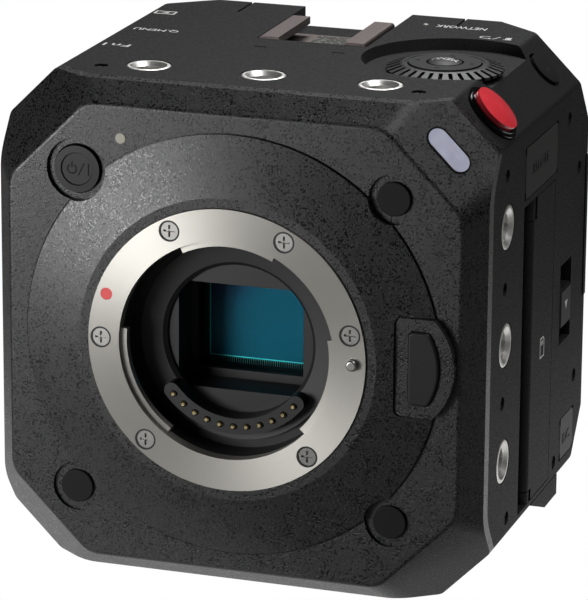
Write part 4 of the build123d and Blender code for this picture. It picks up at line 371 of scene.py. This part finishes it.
def lay(parts):
    """Joins raw outlines into one mesh: each is fitted to its size and laid on its face."""
    joined = bmesh.new()
    for mesh, at, axes, size, depth in parts:
        part = bmesh.new()
        part.from_mesh(mesh)
        bmesh.ops.remove_doubles(part, verts=part.verts, dist=1e-5)
        low = [min(v.co[i] for v in part.verts) for i in range(2)]
        high = [max(v.co[i] for v in part.verts) for i in range(2)]
        for v in part.verts:
            u = v.co[0] if size is None else ((v.co[0] - low[0]) / (high[0] - low[0]) - 0.5) * size[0]
            w = v.co[1] if size is None else ((v.co[1] - low[1]) / (high[1] - low[1]) - 0.5) * size[1]
            v.co = place(*(Vector(at) + axes[0] * u + axes[1] * w + axes[2] * (v.co[2] * depth)))
        bmesh.ops.recalc_face_normals(part, faces=part.faces)
        part.to_mesh(mesh)
        part.free()
        joined.from_mesh(mesh)
    made = bpy.data.meshes.new("lettering")
    joined.to_mesh(made)
    joined.free()
    return made


def settle(name, mesh, body, material):
    """Links a finished mesh as a piece that rides on a body."""
    mesh.materials.clear()
    mesh.materials.append(material)
    piece = bpy.data.objects.new(name, mesh)
    bpy.context.scene.collection.objects.link(piece)
    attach(piece, body)


# Painted shadow: these black rings stand for the shaded gaps round the screw heads.
screw_gap_shade = moulded_plastic("painted_screw_gap_shadow", "#0B0B0C", "#141415", 0.5, 0.3)
rim = sign("screw_rim", [circle(RIM_OUTER), circle(RIM_INNER)])
rims = []
for angle in SCREW_ANGLES:
    x, z = SCREW_CIRCLE * math.cos(math.radians(angle)), SCREW_CIRCLE * math.sin(math.radians(angle))
    rims.append((rim.copy(), (x, RING_FACE, z), FACE_FRONT, None, INK_DEPTH))
settle("mount_screw_rims", lay(rims), "camera", screw_gap_shade)


# The index dot, which shows where a lens goes in: a drop of red enamel, let into a drilled
# spot of the ring and cured with a slightly cloudy, half-gloss skin.

red_enamel, tree, shader = start_material("red_index_enamel", "#C1393B", Roughness=0.35)
shader.inputs["Specular IOR Level"].default_value = 0.4
grained(tree, shader, "#B93335", "#CB4345", 2.5, 2.0)
dress(["mount_index_dot"], red_enamel)


# The throat behind the ring and the sensor's funnel: glass-filled black polyamide, moulded with
# an eroded matt surface that soaks up stray light.

throat_plastic = moulded_plastic("eroded_black_polyamide", "#111112", "#181819", 0.5, 0.3)
dress(["mount_throat", "sensor_frame", "key_switches", "dial_hub", "cursor_carrier", "fan_housing",
       "fan_rotor", "battery_terminals"], throat_plastic)


# The eleven spring contacts: turned brass pins with a thin gold plating, domed at the tip and
# held in the moulded block of the throat. The plating is pale and a little dulled by wiping.

gold = brushed_metal("gold_plated_brass", "#A99A74", 0.25, 0.35, 0.4)
dress(["contact_pins"], gold)


# The filter in front of the sensor: polished glass that holds back infrared, tinted a faint
# teal. Light for the sensor passes it straight, so the chip below stays lit.

glass, tree, shader = start_material("coated_infrared_filter_glass", "#C9EEF0", Roughness=0.0, IOR=1.1)
shader.inputs["Transmission Weight"].default_value = 1.0
rays = add_node(tree, "ShaderNodeLightPath")
clear = add_node(tree, "ShaderNodeBsdfTransparent", {"Color": linear("#D9F3F4")})
mix = add_node(tree, "ShaderNodeMixShader",
               {"Fac": rays.outputs["Is Shadow Ray"], 1: shader.outputs[0], 2: clear.outputs[0]})
tree.links.new(mix.outputs[0], tree.nodes["Material Output"].inputs["Surface"])
dress(["sensor_filter"], glass)


# The image sensor: a ceramic package with a silicon die. The micro lenses on the die turn it
# teal; towards the upper left corner it is painted a darker violet-blue, a painted reflection of
# the lamps in the lenses there. Fine bond wires run round the die.

DIE_WIDTH = 19.4
DIE_HEIGHT = 14.2
DIE_FRONT = 15.95
DIE_SLACK = 0.01
PAINTED_TINT_RUN = (0.05, 0.75)
SAW_EDGE = 0.2
WIRE_PITCH = 0.42
WIRE_SPAN = 1.25
WIRE_RISE = 0.35
WIRE_CREST = 0.35
WIRE_RADIUS = 0.05
WIRE_INSET = 0.15


def grow(name, tree, inputs, base):
    """Runs a Geometry Nodes tree on a base mesh and returns the plain mesh that it makes."""
    holder = bpy.data.objects.new(name, base)
    bpy.context.scene.collection.objects.link(holder)
    modifier = holder.modifiers.new(name, "NODES")
    modifier.node_group = tree
    for item in tree.interface.items_tree:
        if item.item_type == "SOCKET" and item.in_out == "INPUT" and item.name in inputs:
            modifier[item.identifier] = inputs[item.name]
    bpy.context.view_layer.update()
    ready = holder.evaluated_get(bpy.context.evaluated_depsgraph_get())
    made = bpy.data.meshes.new_from_object(ready)
    bpy.data.objects.remove(holder)
    made.name = name
    return made


def start_tree(name, sizes):
    """A Geometry Nodes tree with named size inputs, its input and its output node."""
    tree = bpy.data.node_groups.new(name, "GeometryNodeTree")
    tree.interface.new_socket("Geometry", in_out="INPUT", socket_type="NodeSocketGeometry")
    for size, kind in sizes.items():
        tree.interface.new_socket(size, in_out="INPUT", socket_type=kind)
    tree.interface.new_socket("Geometry", in_out="OUTPUT", socket_type="NodeSocketGeometry")
    return tree, tree.nodes.new("NodeGroupInput"), tree.nodes.new("NodeGroupOutput")


def place_mesh(name, spots):
    """Loose points with the direction that each one faces."""
    mesh = bpy.data.meshes.new(name)
    mesh.from_pydata([place(*spot) for spot, direction in spots], [], [])
    facing = mesh.attributes.new("facing", "FLOAT_VECTOR", "POINT")
    for i, (spot, direction) in enumerate(spots):
        facing.data[i].vector = direction
    return mesh


def finish_tree(tree, output, geometry, material):
    """Realizes the instances, sets the material and closes the tree."""
    real = add_node(tree, "GeometryNodeRealizeInstances", {0: geometry})
    done = add_node(tree, "GeometryNodeSetMaterial", {"Geometry": real.outputs[0], "Material": material})
    tree.links.new(done.outputs[0], output.inputs[0])


silicon, tree, shader = start_material("coated_silicon_die", "#053647", Roughness=0.4)
shader.inputs["Specular IOR Level"].default_value = 0.08
position = object_mm(tree)
parts = add_node(tree, "ShaderNodeSeparateXYZ", {0: position})
across = add_node(tree, "ShaderNodeMapRange", {"Value": parts.outputs["X"], 1: -DIE_WIDTH / 2, 2: DIE_WIDTH / 2})
upward = add_node(tree, "ShaderNodeMapRange", {"Value": parts.outputs["Z"], 1: AXIS_TO_PART.z + DIE_HEIGHT / 2,
                                               2: AXIS_TO_PART.z - DIE_HEIGHT / 2})
corner = add_node(tree, "ShaderNodeMath", {0: across.outputs[0], 1: upward.outputs[0]}, operation="ADD")
# Painted reflection: the die colour runs to a darker violet-blue towards the upper left corner.
painted_tint = add_node(tree, "ShaderNodeMapRange", {"Value": corner.outputs[0], 1: PAINTED_TINT_RUN[0], 2: PAINTED_TINT_RUN[1]},
                interpolation_type="SMOOTHSTEP")
die_colour = add_node(tree, "ShaderNodeMix", {0: painted_tint.outputs[0], 6: linear("#0E1036"), 7: linear("#043E4E")},
                      data_type="RGBA")
border_x = add_node(tree, "ShaderNodeMath", {0: parts.outputs["X"]}, operation="ABSOLUTE")
border_z = add_node(tree, "ShaderNodeMath", {0: parts.outputs["Z"], 1: AXIS_TO_PART.z}, operation="SUBTRACT")
border_z = add_node(tree, "ShaderNodeMath", {0: border_z.outputs[0]}, operation="ABSOLUTE")
package_x = add_node(tree, "ShaderNodeMath", {0: border_x.outputs[0], 1: DIE_WIDTH / 2 + DIE_SLACK},
                     operation="GREATER_THAN")
package_z = add_node(tree, "ShaderNodeMath", {0: border_z.outputs[0], 1: DIE_HEIGHT / 2 + DIE_SLACK},
                     operation="GREATER_THAN")
package = add_node(tree, "ShaderNodeMath", {0: package_x.outputs[0], 1: package_z.outputs[0]}, operation="MAXIMUM")
colour = add_node(tree, "ShaderNodeMix", {0: package.outputs[0], 6: die_colour.outputs[2], 7: linear("#101416")},
                  data_type="RGBA")
tree.links.new(colour.outputs[2], shader.inputs["Base Color"])
shine = add_node(tree, "ShaderNodeMapRange", {"Value": package.outputs[0], 3: 0.4, 4: 0.6})
tree.links.new(shine.outputs[0], shader.inputs["Roughness"])
dress(["image_sensor"], silicon)

edge_cyan, tree, shader = start_material("bright_diced_edge", "#38B9B4", Roughness=0.4)
grained(tree, shader, "#2FA9AC", "#48CCC2", 0.3)
outline = sign("die_edge", [
    [(side * w, rise * h) for side, rise in ((-1, -1), (1, -1), (1, 1), (-1, 1))]
    for w, h in ((DIE_WIDTH / 2, DIE_HEIGHT / 2), (DIE_WIDTH / 2 - SAW_EDGE, DIE_HEIGHT / 2 - SAW_EDGE))
])
settle("die_edge", lay([(outline, (0, DIE_FRONT, 0), FACE_FRONT, None, INK_DEPTH)]), "camera",
       edge_cyan)

# The bond wires are drawn gold. Their colour is painted grey green: the teal light of the chip, painted into the
# gold.
# Painted light: the teal cast of the chip is set in the wires' own colour.
wire_gold_teal_cast = brushed_metal("drawn_gold_wire_painted_teal_light", "#5E7F80", 0.35, 0.5, 0.3)
tree, given, output = start_tree("bond_wires", {"Span": "NodeSocketFloat", "Rise": "NodeSocketFloat",
                                                "Radius": "NodeSocketFloat"})
end = add_node(tree, "ShaderNodeCombineXYZ", {0: given.outputs["Span"]})
crest_run = add_node(tree, "ShaderNodeMath", {0: given.outputs["Span"], 1: WIRE_CREST}, operation="MULTIPLY")
crest = add_node(tree, "ShaderNodeCombineXYZ", {0: crest_run.outputs[0], 2: given.outputs["Rise"]})
arc = add_node(tree, "GeometryNodeCurveQuadraticBezier", {"Resolution": 5, "Start": (0, 0, 0),
                                                         "Middle": crest.outputs[0], "End": end.outputs[0]})
section = add_node(tree, "GeometryNodeCurvePrimitiveCircle", {"Resolution": 4, "Radius": given.outputs["Radius"]})
wire = add_node(tree, "GeometryNodeCurveToMesh", {"Curve": arc.outputs[0], "Profile Curve": section.outputs[0],
                                                  "Fill Caps": True})
facing = add_node(tree, "GeometryNodeInputNamedAttribute", {"Name": "facing"}, data_type="FLOAT_VECTOR")
turn = add_node(tree, "FunctionNodeAlignRotationToVector", {"Vector": facing.outputs[0]}, axis="X")
turn_up = add_node(tree, "FunctionNodeAlignRotationToVector", {"Rotation": turn.outputs[0], "Vector": (0, -1, 0)},
                   axis="Z", pivot_axis="X")
copies = add_node(tree, "GeometryNodeInstanceOnPoints", {"Points": given.outputs["Geometry"],
                                                        "Instance": wire.outputs[0], "Rotation": turn_up.outputs[0]})
finish_tree(tree, output, copies.outputs[0], wire_gold_teal_cast)
spots = []
for side in (-1, 1):
    count = int(DIE_WIDTH / WIRE_PITCH)
    for i in range(count):
        x = (i - (count - 1) / 2) * WIRE_PITCH
        spots.append(((x, DIE_FRONT - INK_DEPTH, side * (DIE_HEIGHT / 2 - WIRE_INSET)), (0, 0, side)))
    count = int(DIE_HEIGHT / WIRE_PITCH)
    for i in range(count):
        z = (i - (count - 1) / 2) * WIRE_PITCH
        spots.append(((side * (DIE_WIDTH / 2 - WIRE_INSET), DIE_FRONT - INK_DEPTH, z), (side, 0, 0)))
mesh = grow("bond_wires", tree, {"Span": WIRE_SPAN * MM, "Rise": WIRE_RISE * MM, "Radius": WIRE_RADIUS * MM},
            place_mesh("wire_places", spots))
settle("bond_wires", mesh, "camera", wire_gold_teal_cast)


# Push keys, dial, cursor, flaps and the lens release: black acrylic-butadiene mouldings, etched
# in the tool to a satin skin that is smoother than the paint beside it. The power sign is
# engraved and filled. The two fine dark rings on its key are painted shade: one at the shaded
# edge of its dish, one where the gap round its face lies in shadow.

POWER_AT = (-29.75, 0.35, 30.4)
POWER_RIM_Y = 0.14
DISH_EDGE_SHADE = (3.1, 2.92)
KEY_EDGE = (4.36, 4.2)
STROKE = 0.27


def band(radius, width, start, end, steps=20, centre=(0, 0)):
    """A loop round an arc of a given stroke width, angles in degrees."""
    angles = [math.radians(start + (end - start) * i / steps) for i in range(steps + 1)]
    outer = [(centre[0] + (radius + width / 2) * math.cos(a), centre[1] + (radius + width / 2) * math.sin(a))
             for a in angles]
    inner = [(centre[0] + (radius - width / 2) * math.cos(a), centre[1] + (radius - width / 2) * math.sin(a))
             for a in reversed(angles)]
    return outer + inner


def bar(u, v, width, height, lean=0.0):
    """An upright bar round a point, leaning to the right by a distance at its top."""
    return [(u - width / 2 - lean / 2, v - height / 2), (u + width / 2 - lean / 2, v - height / 2),
            (u + width / 2 + lean / 2, v + height / 2), (u - width / 2 + lean / 2, v + height / 2)]


satin_plastic = moulded_plastic("satin_black_abs", "#0C0C0D", "#121213", 0.5, 0.25, 0.22, 0.00001)
dress(["power_button", "lens_release_button", "delete_button", "function_button", "playback_button",
       "cursor_ring", "menu_button", "card_latch", "remote_flap", "dc_flap", "battery_release"], satin_plastic)
# The black fill of the engraved signs, used too for the painted shade rings of the power key.
dark_fill_and_shade = moulded_plastic("black_engraving_paint_and_painted_shade", "#050505", "#0C0C0D", 0.6, 0.3, 0.1)
symbol = sign("power_symbol", [
    band(0.85, STROKE, 120, 420, centre=(-1.0, -0.05)), bar(-1.0, 0.75, STROKE, 1.15),
    bar(0.8, -0.05, STROKE, 2.4, 1.2), bar(2.2, 0, 0.3, 2.3),
])
# Painted shade: black rings where the dish edge of the key and the gap round its face lie in shade.
dish_edge_shade = sign("power_dish_edge_shade", [circle(radius, steps=48) for radius in DISH_EDGE_SHADE])
edge = sign("power_edge", [circle(radius, steps=56) for radius in KEY_EDGE])
mesh = lay([(symbol, POWER_AT, FACE_FRONT, None, INK_DEPTH), (dish_edge_shade, POWER_AT, FACE_FRONT, None, INK_DEPTH),
            (edge, (POWER_AT[0], POWER_RIM_Y, POWER_AT[2]), FACE_FRONT, None, INK_DEPTH)])
settle("power_symbol", mesh, "power_button", dark_fill_and_shade)
dial_plastic = moulded_plastic("matt_black_dial_abs", "#0E0E0F", "#141415", 0.45, 0.25)
dress(["control_dial"], dial_plastic)


# The record key: a clear red acrylic cap over a red base, with a high polish, in a stepped
# collar of dark plated plastic that mirrors the red.

record_red, tree, shader = start_material("polished_red_acrylic", "#C01C24", Roughness=0.2)
shader.inputs["Coat Weight"].default_value = 0.3
shader.inputs["Coat Roughness"].default_value = 0.15
grained(tree, shader, "#B52831", "#C8363F", 0.4)
dress(["record_button"], record_red)
plated = brushed_metal("dark_plated_collar", "#4A4A4D", 0.14, 0.22, 1.2)
dress(["record_collar"], plated)


# The lamps: frosted polycarbonate light guides, milky over the dark space behind them. The
# tally lens is a pale lilac grey, ringed by a black band of painted shadow where the wall of its
# recess lies in shade; the small power lamp is a pale beige, and the network lamp on the top a clear dome.

SHADE_BAND_OUTER = (9.95, 4.35)
SHADE_BAND_INNER = (9.3, 3.7)
SHADE_BAND_HEIGHT = 0.26
TALLY_AT = (38.75, 4.95, 38.75)
FACET_NORMAL = Vector((1, -1.3131, 1)).normalized()
FACET_ALONG = Vector((1, 0, -1)).normalized()
FACE_FACET = (FACET_ALONG, FACET_NORMAL.cross(FACET_ALONG), FACET_NORMAL)
DOME = ((0, -0.2), (0.52, -0.2), (0.52, 0.05), (0.4, 0.14), (0.2, 0.18), (0, 0.2))
DOME_AT = (15.8, 67.2, 46.5)


def light_guide(name, low, high):
    """A milky lens with soft clouds in it."""
    material, tree, shader = start_material(name, low, Roughness=0.3)
    shader.inputs["Subsurface Weight"].default_value = 0.2
    shader.inputs["Subsurface Scale"].default_value = 0.0015
    grained(tree, shader, low, high, 0.35)
    return material


def pill(length, width, steps=14):
    """A slot-shaped loop that lies along u."""
    r, half = width / 2, (length - width) / 2
    turns = [math.pi * i / steps - math.pi / 2 for i in range(steps + 1)]
    right = [(half + r * math.cos(t), r * math.sin(t)) for t in turns]
    return right + [(-u, -v) for u, v in right]


def lathe_piece(name, profile, at, axes, steps=32):
    """A piece turned round an axis from a profile of radius and height that starts and ends on it."""
    mesh = bpy.data.meshes.new(name)
    lathe = bmesh.new()
    rings = []
    for radius, height in profile:
        spots = [Vector((radius * math.cos(t), radius * math.sin(t), height))
                 for t in (2 * math.pi * i / steps for i in range(steps if radius else 1))]
        rings.append([lathe.verts.new(place(*(Vector(at) + axes[0] * v.x + axes[1] * v.y + axes[2] * v.z)))
                      for v in spots])
    for low, high in zip(rings, rings[1:]):
        for i in range(steps):
            corners = [low[i % len(low)], low[(i + 1) % len(low)], high[(i + 1) % len(high)], high[i % len(high)]]
            lathe.faces.new(list(dict.fromkeys(corners)))
    bmesh.ops.recalc_face_normals(lathe, faces=lathe.faces)
    lathe.to_mesh(mesh)
    lathe.free()
    mesh.shade_smooth()
    return mesh


dress(["tally_lamp"], light_guide("frosted_lilac_polycarbonate", "#9597AD", "#B7B9CA"))
dress(["power_lamp"], light_guide("frosted_beige_polycarbonate", "#6E6B5F", "#827F70"))
# Painted shadow: a black band round the tally lens stands for its shaded recess wall.
tally_shade_paint = moulded_plastic("painted_tally_recess_shadow", "#060606", "#0D0D0E", 0.8, 0.2, 0.1)
tally_shade_band = sign("tally_recess_shade", [pill(*SHADE_BAND_OUTER), pill(*SHADE_BAND_INNER)])
settle("tally_recess_shade", lay([(tally_shade_band, TALLY_AT, FACE_FACET, None, SHADE_BAND_HEIGHT)]), "camera", tally_shade_paint)
network_guide = light_guide("frosted_clear_polycarbonate", "#8C8D8A", "#A8A9A5")
settle("network_lamp", lathe_piece("network_lamp", DOME, DOME_AT, FACE_UP), "camera", network_guide)


# The caps pressed into the front and the cover of the terminals: moulded black silicone
# rubber, with a duller and softer sheen than the plastics beside it.

rubber = moulded_plastic("moulded_black_silicone", "#0B0B0C", "#111112", 0.6, 0.35, 0.12)
dress(["socket_caps", "terminal_cover"], rubber)


# The accessory shoe: bent stainless sheet with a fine blasted finish, in a brownish grey, and
# the bright leaf spring on its floor.

dress(["shoe_rails"], brushed_metal("blasted_stainless_shoe", "#6E6664", 0.38, 0.5, 0.35))
dress(["shoe_spring"], brushed_metal("bright_leaf_spring", "#C6C5C2", 0.2, 0.3, 0.6))


# The thread inserts: turned brass bushes, bright nickel plated, with a quarter-inch thread of
# 20 turns to the inch cut down their bores.

THREAD_PITCH = 1.27
THREAD_TURNS = 4.0
THREAD_RIDGE = 0.3
BORE_RADIUS = 2.6
INSERT_STEP = 22.2
INSERT_ROW = 17.3
TOP_START = 45.4
BOTTOM_START = -46.0

insert_metal = brushed_metal("bright_nickel_plated_brass", "#D2D1CE", 0.36, 0.46, 0.9)
dress(["top_inserts", "card_side_inserts", "fan_side_inserts", "bottom_inserts"], insert_metal)

tree, given, output = start_tree("insert_threads", {"Radius": "NodeSocketFloat", "Pitch": "NodeSocketFloat",
                                                    "Turns": "NodeSocketFloat", "Ridge": "NodeSocketFloat"})
deep = add_node(tree, "ShaderNodeMath", {0: given.outputs["Pitch"], 1: given.outputs["Turns"]}, operation="MULTIPLY")
helix = add_node(tree, "GeometryNodeCurveSpiral", {"Resolution": 28, "Rotations": given.outputs["Turns"],
                                                   "Start Radius": given.outputs["Radius"],
                                                   "End Radius": given.outputs["Radius"],
                                                   "Height": deep.outputs[0]})
ridge = add_node(tree, "GeometryNodeCurvePrimitiveCircle", {"Resolution": 3, "Radius": given.outputs["Ridge"]})
thread = add_node(tree, "GeometryNodeCurveToMesh", {"Curve": helix.outputs[0], "Profile Curve": ridge.outputs[0],
                                                    "Fill Caps": True})
facing = add_node(tree, "GeometryNodeInputNamedAttribute", {"Name": "facing"}, data_type="FLOAT_VECTOR")
turn = add_node(tree, "FunctionNodeAlignRotationToVector", {"Vector": facing.outputs[0]}, axis="Z")
copies = add_node(tree, "GeometryNodeInstanceOnPoints", {"Points": given.outputs["Geometry"],
                                                        "Instance": thread.outputs[0], "Rotation": turn.outputs[0]})
finish_tree(tree, output, copies.outputs[0], insert_metal)
spots = []
for offset in (-INSERT_STEP, 0.0, INSERT_STEP):
    spots += [((offset, INSERT_ROW, TOP_START), (0, 0, -1)), ((TOP_START, INSERT_ROW, offset), (-1, 0, 0)),
              ((-TOP_START, INSERT_ROW, offset), (1, 0, 0))]
spots += [((0, y, BOTTOM_START), (0, 0, 1)) for y in (INSERT_ROW, INSERT_ROW + INSERT_STEP)]
mesh = grow("insert_threads", tree, {"Radius": BORE_RADIUS * MM, "Pitch": THREAD_PITCH * MM, "Turns": THREAD_TURNS,
                                     "Ridge": THREAD_RIDGE * MM}, place_mesh("insert_places", spots))
settle("insert_threads", mesh, "camera", insert_metal)


# The inner works that show through the openings: a bare die-cast frame, the boards, a copper
# spreader behind the sensor, an extruded heat sink and the fan.

dress(["main_frame"], brushed_metal("bare_magnesium_casting", "#6F6F6D", 0.5, 0.62, 0.6))
dress(["heat_spreader"], brushed_metal("rolled_copper_sheet", "#B4704C", 0.3, 0.42, 0.8))
dress(["heat_sink"], moulded_plastic("black_anodised_aluminium", "#1A1A1B", "#242425", 0.45, 0.6, 0.5))
board, tree, shader = start_material("green_solder_mask", "#12402A", Roughness=0.4)
traces = add_node(tree, "ShaderNodeTexVoronoi", {"Vector": object_mm(tree), "Scale": 0.6, "Randomness": 0.4},
                  distance="CHEBYCHEV")
colour = add_node(tree, "ShaderNodeMix", {0: traces.outputs["Distance"], 6: linear("#1B5236"), 7: linear("#0F3421")},
                  data_type="RGBA")
tree.links.new(colour.outputs[2], shader.inputs["Base Color"])
dress(["main_board", "sensor_board"], board)


# Sockets: nickel-plated shells of drawn brass and sheet, and black mouldings with the card
# guides and the round jacks. Spring contacts of gilt bronze stand in rows inside them.

dress(["bnc_sockets"], brushed_metal("bright_nickel_socket", "#B5B4B0", 0.18, 0.28, 1.0))
dress(["data_sockets"], brushed_metal("nickel_plated_shell", "#8F8E8B", 0.3, 0.4, 0.8))
dress(["card_socket", "jack_sockets"], throat_plastic)

# One leaf of a battery contact and one wire of the network socket, each bent along its path.
LEAF_PATH = ((0.4, 0.0), (0.3, 0.5), (0.14, 1.0), (0.34, 1.45))
LEAF_SPAN = (-2.6, 2.6)
LEAF_SHEET = 0.12
BLADE_AT = (-6.0, 71.1, -27.1)
BLADE_COUNT = 5
BLADE_PITCH = 3.0
WIRE_PATH = ((73.4, -12.75), (72.6, -12.75), (66.6, -15.1), (66.0, -15.0))
WIRE_HALF = (-0.18, 0.18)
WIRE_SHEET = 0.2
PLUG_COUNT = 8
PLUG_PITCH = 1.02
FIRST_WIRE = 28.93


def bent_strip(path, thickness, span, axes, at):
    """A strip of sheet bent along a path of (u, v) points, with its width along the third axis."""
    sides = []
    for i, (u, v) in enumerate(path):
        before, after = path[max(i - 1, 0)], path[min(i + 1, len(path) - 1)]
        run = Vector((after[0] - before[0], after[1] - before[1])).normalized() * thickness / 2
        sides.append(((u - run.y, v + run.x), (u + run.y, v - run.x)))
    strip = bmesh.new()
    rings = []
    for left, right in sides:
        corners = [(left, span[0]), (right, span[0]), (right, span[1]), (left, span[1])]
        rings.append([strip.verts.new(place(*(Vector(at) + axes[0] * uv[0] + axes[1] * uv[1] + axes[2] * w)))
                      for uv, w in corners])
    for low, high in zip(rings, rings[1:]):
        for i in range(4):
            strip.faces.new((low[i], low[(i + 1) % 4], high[(i + 1) % 4], high[i]))
    strip.faces.new(rings[0])
    strip.faces.new(rings[-1])
    bmesh.ops.recalc_face_normals(strip, faces=strip.faces)
    return strip


gilt_bronze = brushed_metal("gilt_spring_bronze", "#C9AE74", 0.24, 0.36, 0.5)
tree, given, output = start_tree("contact_rows", {"Count": "NodeSocketInt", "Pitch": "NodeSocketFloat"})
step = add_node(tree, "ShaderNodeCombineXYZ", {0: given.outputs["Pitch"]})
row = add_node(tree, "GeometryNodeMeshLine", {"Count": given.outputs["Count"], "Offset": step.outputs[0]})
copies = add_node(tree, "GeometryNodeInstanceOnPoints", {"Points": row.outputs[0],
                                                        "Instance": given.outputs["Geometry"]})
finish_tree(tree, output, copies.outputs[0], gilt_bronze)

fork = bpy.data.meshes.new("blade_fork")
for side in (-1, 1):
    leaf = bent_strip([(side * u, v) for u, v in LEAF_PATH], LEAF_SHEET, LEAF_SPAN, (RIGHT, REAR, UP), BLADE_AT)
    leaf.from_mesh(fork)
    leaf.to_mesh(fork)
    leaf.free()
mesh = grow("battery_blades", tree, {"Count": BLADE_COUNT, "Pitch": BLADE_PITCH * MM}, fork)
settle("battery_blades", mesh, "camera", gilt_bronze)
first_wire = bpy.data.meshes.new("network_wire")
wire = bent_strip(WIRE_PATH, WIRE_SHEET, WIRE_HALF, (REAR, UP, RIGHT), (FIRST_WIRE, 0, 0))
wire.to_mesh(first_wire)
wire.free()
mesh = grow("network_contacts", tree, {"Count": PLUG_COUNT, "Pitch": PLUG_PITCH * MM}, first_wire)
settle("network_contacts", mesh, "camera", gilt_bronze)


# The cover screws and the hinge pins of the card door: the screws are steel with a black
# oxide skin that is rubbed a little lighter in places, the pins are ground bare.

dress(["cover_screws"], brushed_metal("black_oxide_steel", "#3A3A3B", 0.35, 0.5, 0.5))
dress(["door_pins"], brushed_metal("ground_steel_pin", "#8A8986", 0.25, 0.35, 0.5))


# Lettering: function words and signs, pad printed in pale grey on the top, the side and the
# keys. On the top they read from behind the camera. The flaps carry raised words instead.

TOP_FACE = 46.5
SIDE_FACE = 46.5
RAISED = 0.2
MENU_AT = (28.6, 36.6)
MENU_CROWN = 47.62
MENU_DOME_RADIUS = 8.57
CURSOR_FACE = 46.96
CURSOR_REACH = 5.2


def word(text):
    """Raw lettering, one unit deep each way."""
    curve = bpy.data.curves.new(text, "FONT")
    curve.body = text
    curve.extrude = 0.5
    curve.resolution_u = 3
    return flat_outline(curve)


ink, tree, shader = start_material("pale_grey_pad_ink", "#C4C4C2", Roughness=0.55)
grained(tree, shader, "#AFAFAD", "#D2D2D0", 6.0, 3.0)
playback = sign("playback", [
    [(-2.0, -1.1), (2.0, -1.1), (2.0, 1.1), (-2.0, 1.1)],
    [(-1.7, -0.8), (1.7, -0.8), (1.7, 0.8), (-1.7, 0.8)],
    [(-0.6, -0.5), (0.7, 0.0), (-0.6, 0.5)],
])
bin_and_back = sign("delete_and_back", [
    bar(-2.7, -0.2, 1.1, 1.5), bar(-2.95, -0.2, 0.14, 1.0), bar(-2.45, -0.2, 0.14, 1.0), bar(-2.7, 0.78, 1.7, 0.22),
    bar(-0.3, 0, 0.22, 2.2, 1.1),
    band(0.75, 0.24, -90, 90, centre=(2.2, 0)), bar(1.7, 0.75, 1.2, 0.24), bar(1.7, -0.75, 1.2, 0.24),
    [(1.2, 0.3), (1.2, 1.2), (0.5, 0.75)],
])
mesh = lay([
    (word("Fn1"), (-33.6, 30.8, TOP_FACE), FACE_UP, (5.2, 1.9), INK_DEPTH),
    (word("Q.MENU"), (-31.0, 45.2, TOP_FACE), FACE_UP, (8.9, 1.9), INK_DEPTH),
    (playback, (-34.6, 60.0, TOP_FACE), FACE_UP, (4.2, 2.4), INK_DEPTH),
    (word("NETWORK"), (22.9, 67.0, TOP_FACE), FACE_UP, (10.0, 1.9), INK_DEPTH),
    (bin_and_back, (31.6, 60.5, TOP_FACE), FACE_UP, (6.4, 2.2), INK_DEPTH),
])
settle("top_lettering", mesh, "camera", ink)
card = sign("card_sign", [
    [(-1.5, -2.0), (1.5, -2.0), (1.5, 1.3), (0.8, 2.0), (-1.5, 2.0)],
    [(-1.2, -1.7), (1.2, -1.7), (1.2, 1.18), (0.68, 1.7), (-1.2, 1.7)],
    bar(-0.7, 0.9, 0.3, 0.9), bar(-0.1, 0.9, 0.3, 0.9), bar(0.5, 0.9, 0.3, 0.9),
])
settle("card_sign", lay([(card, (SIDE_FACE, 43.5, -8.0), FACE_SIDE, None, INK_DEPTH)]), "card_door",
       ink)

# The word on the menu key follows its dome, and the four cursor marks point outwards.
mesh = lay([(word("MENU"), (*MENU_AT, MENU_CROWN), FACE_UP, (4.7, 1.6), INK_DEPTH)])
for v in mesh.vertices:
    off = (v.co - place(*MENU_AT, MENU_CROWN)).xy.length / MM
    v.co.z -= (MENU_DOME_RADIUS - math.sqrt(MENU_DOME_RADIUS ** 2 - off ** 2)) * MM
settle("menu_word", mesh, "menu_button", ink)
marks = []
for turn in range(4):
    out = Vector((math.cos(math.pi * turn / 2), math.sin(math.pi * turn / 2), 0))
    mark = sign("cursor_mark", [[(-0.6, -0.4), (0.6, -0.4), (0, 0.5)]])
    marks.append((mark, Vector((*MENU_AT, CURSOR_FACE)) + out * CURSOR_REACH,
                  (Vector((out.y, -out.x, 0)), out, UP), None, INK_DEPTH))
settle("cursor_marks", lay(marks), "cursor_ring", dark_fill_and_shade)

raised = lay([(word("REMOTE"), (SIDE_FACE, 39.6, 28.9), FACE_SIDE, (10.8, 1.9), RAISED)])
settle("remote_word", raised, "remote_flap", satin_plastic)
raised = lay([(word("DC"), (SIDE_FACE, 63.6, -31.7), FACE_SIDE, (5.0, 1.9), RAISED)])
settle("dc_word", raised, "dc_flap", satin_plastic)
arrow = sign("latch_arrow", [[(-1.0, 0.8), (1.0, 0.8), (0, -0.9)]])
settle("latch_arrow", lay([(arrow, (46.7, 60.1, -4.2), FACE_SIDE, None, INK_DEPTH)]), "card_latch",
       ink)


bpy.context.view_layer.update()
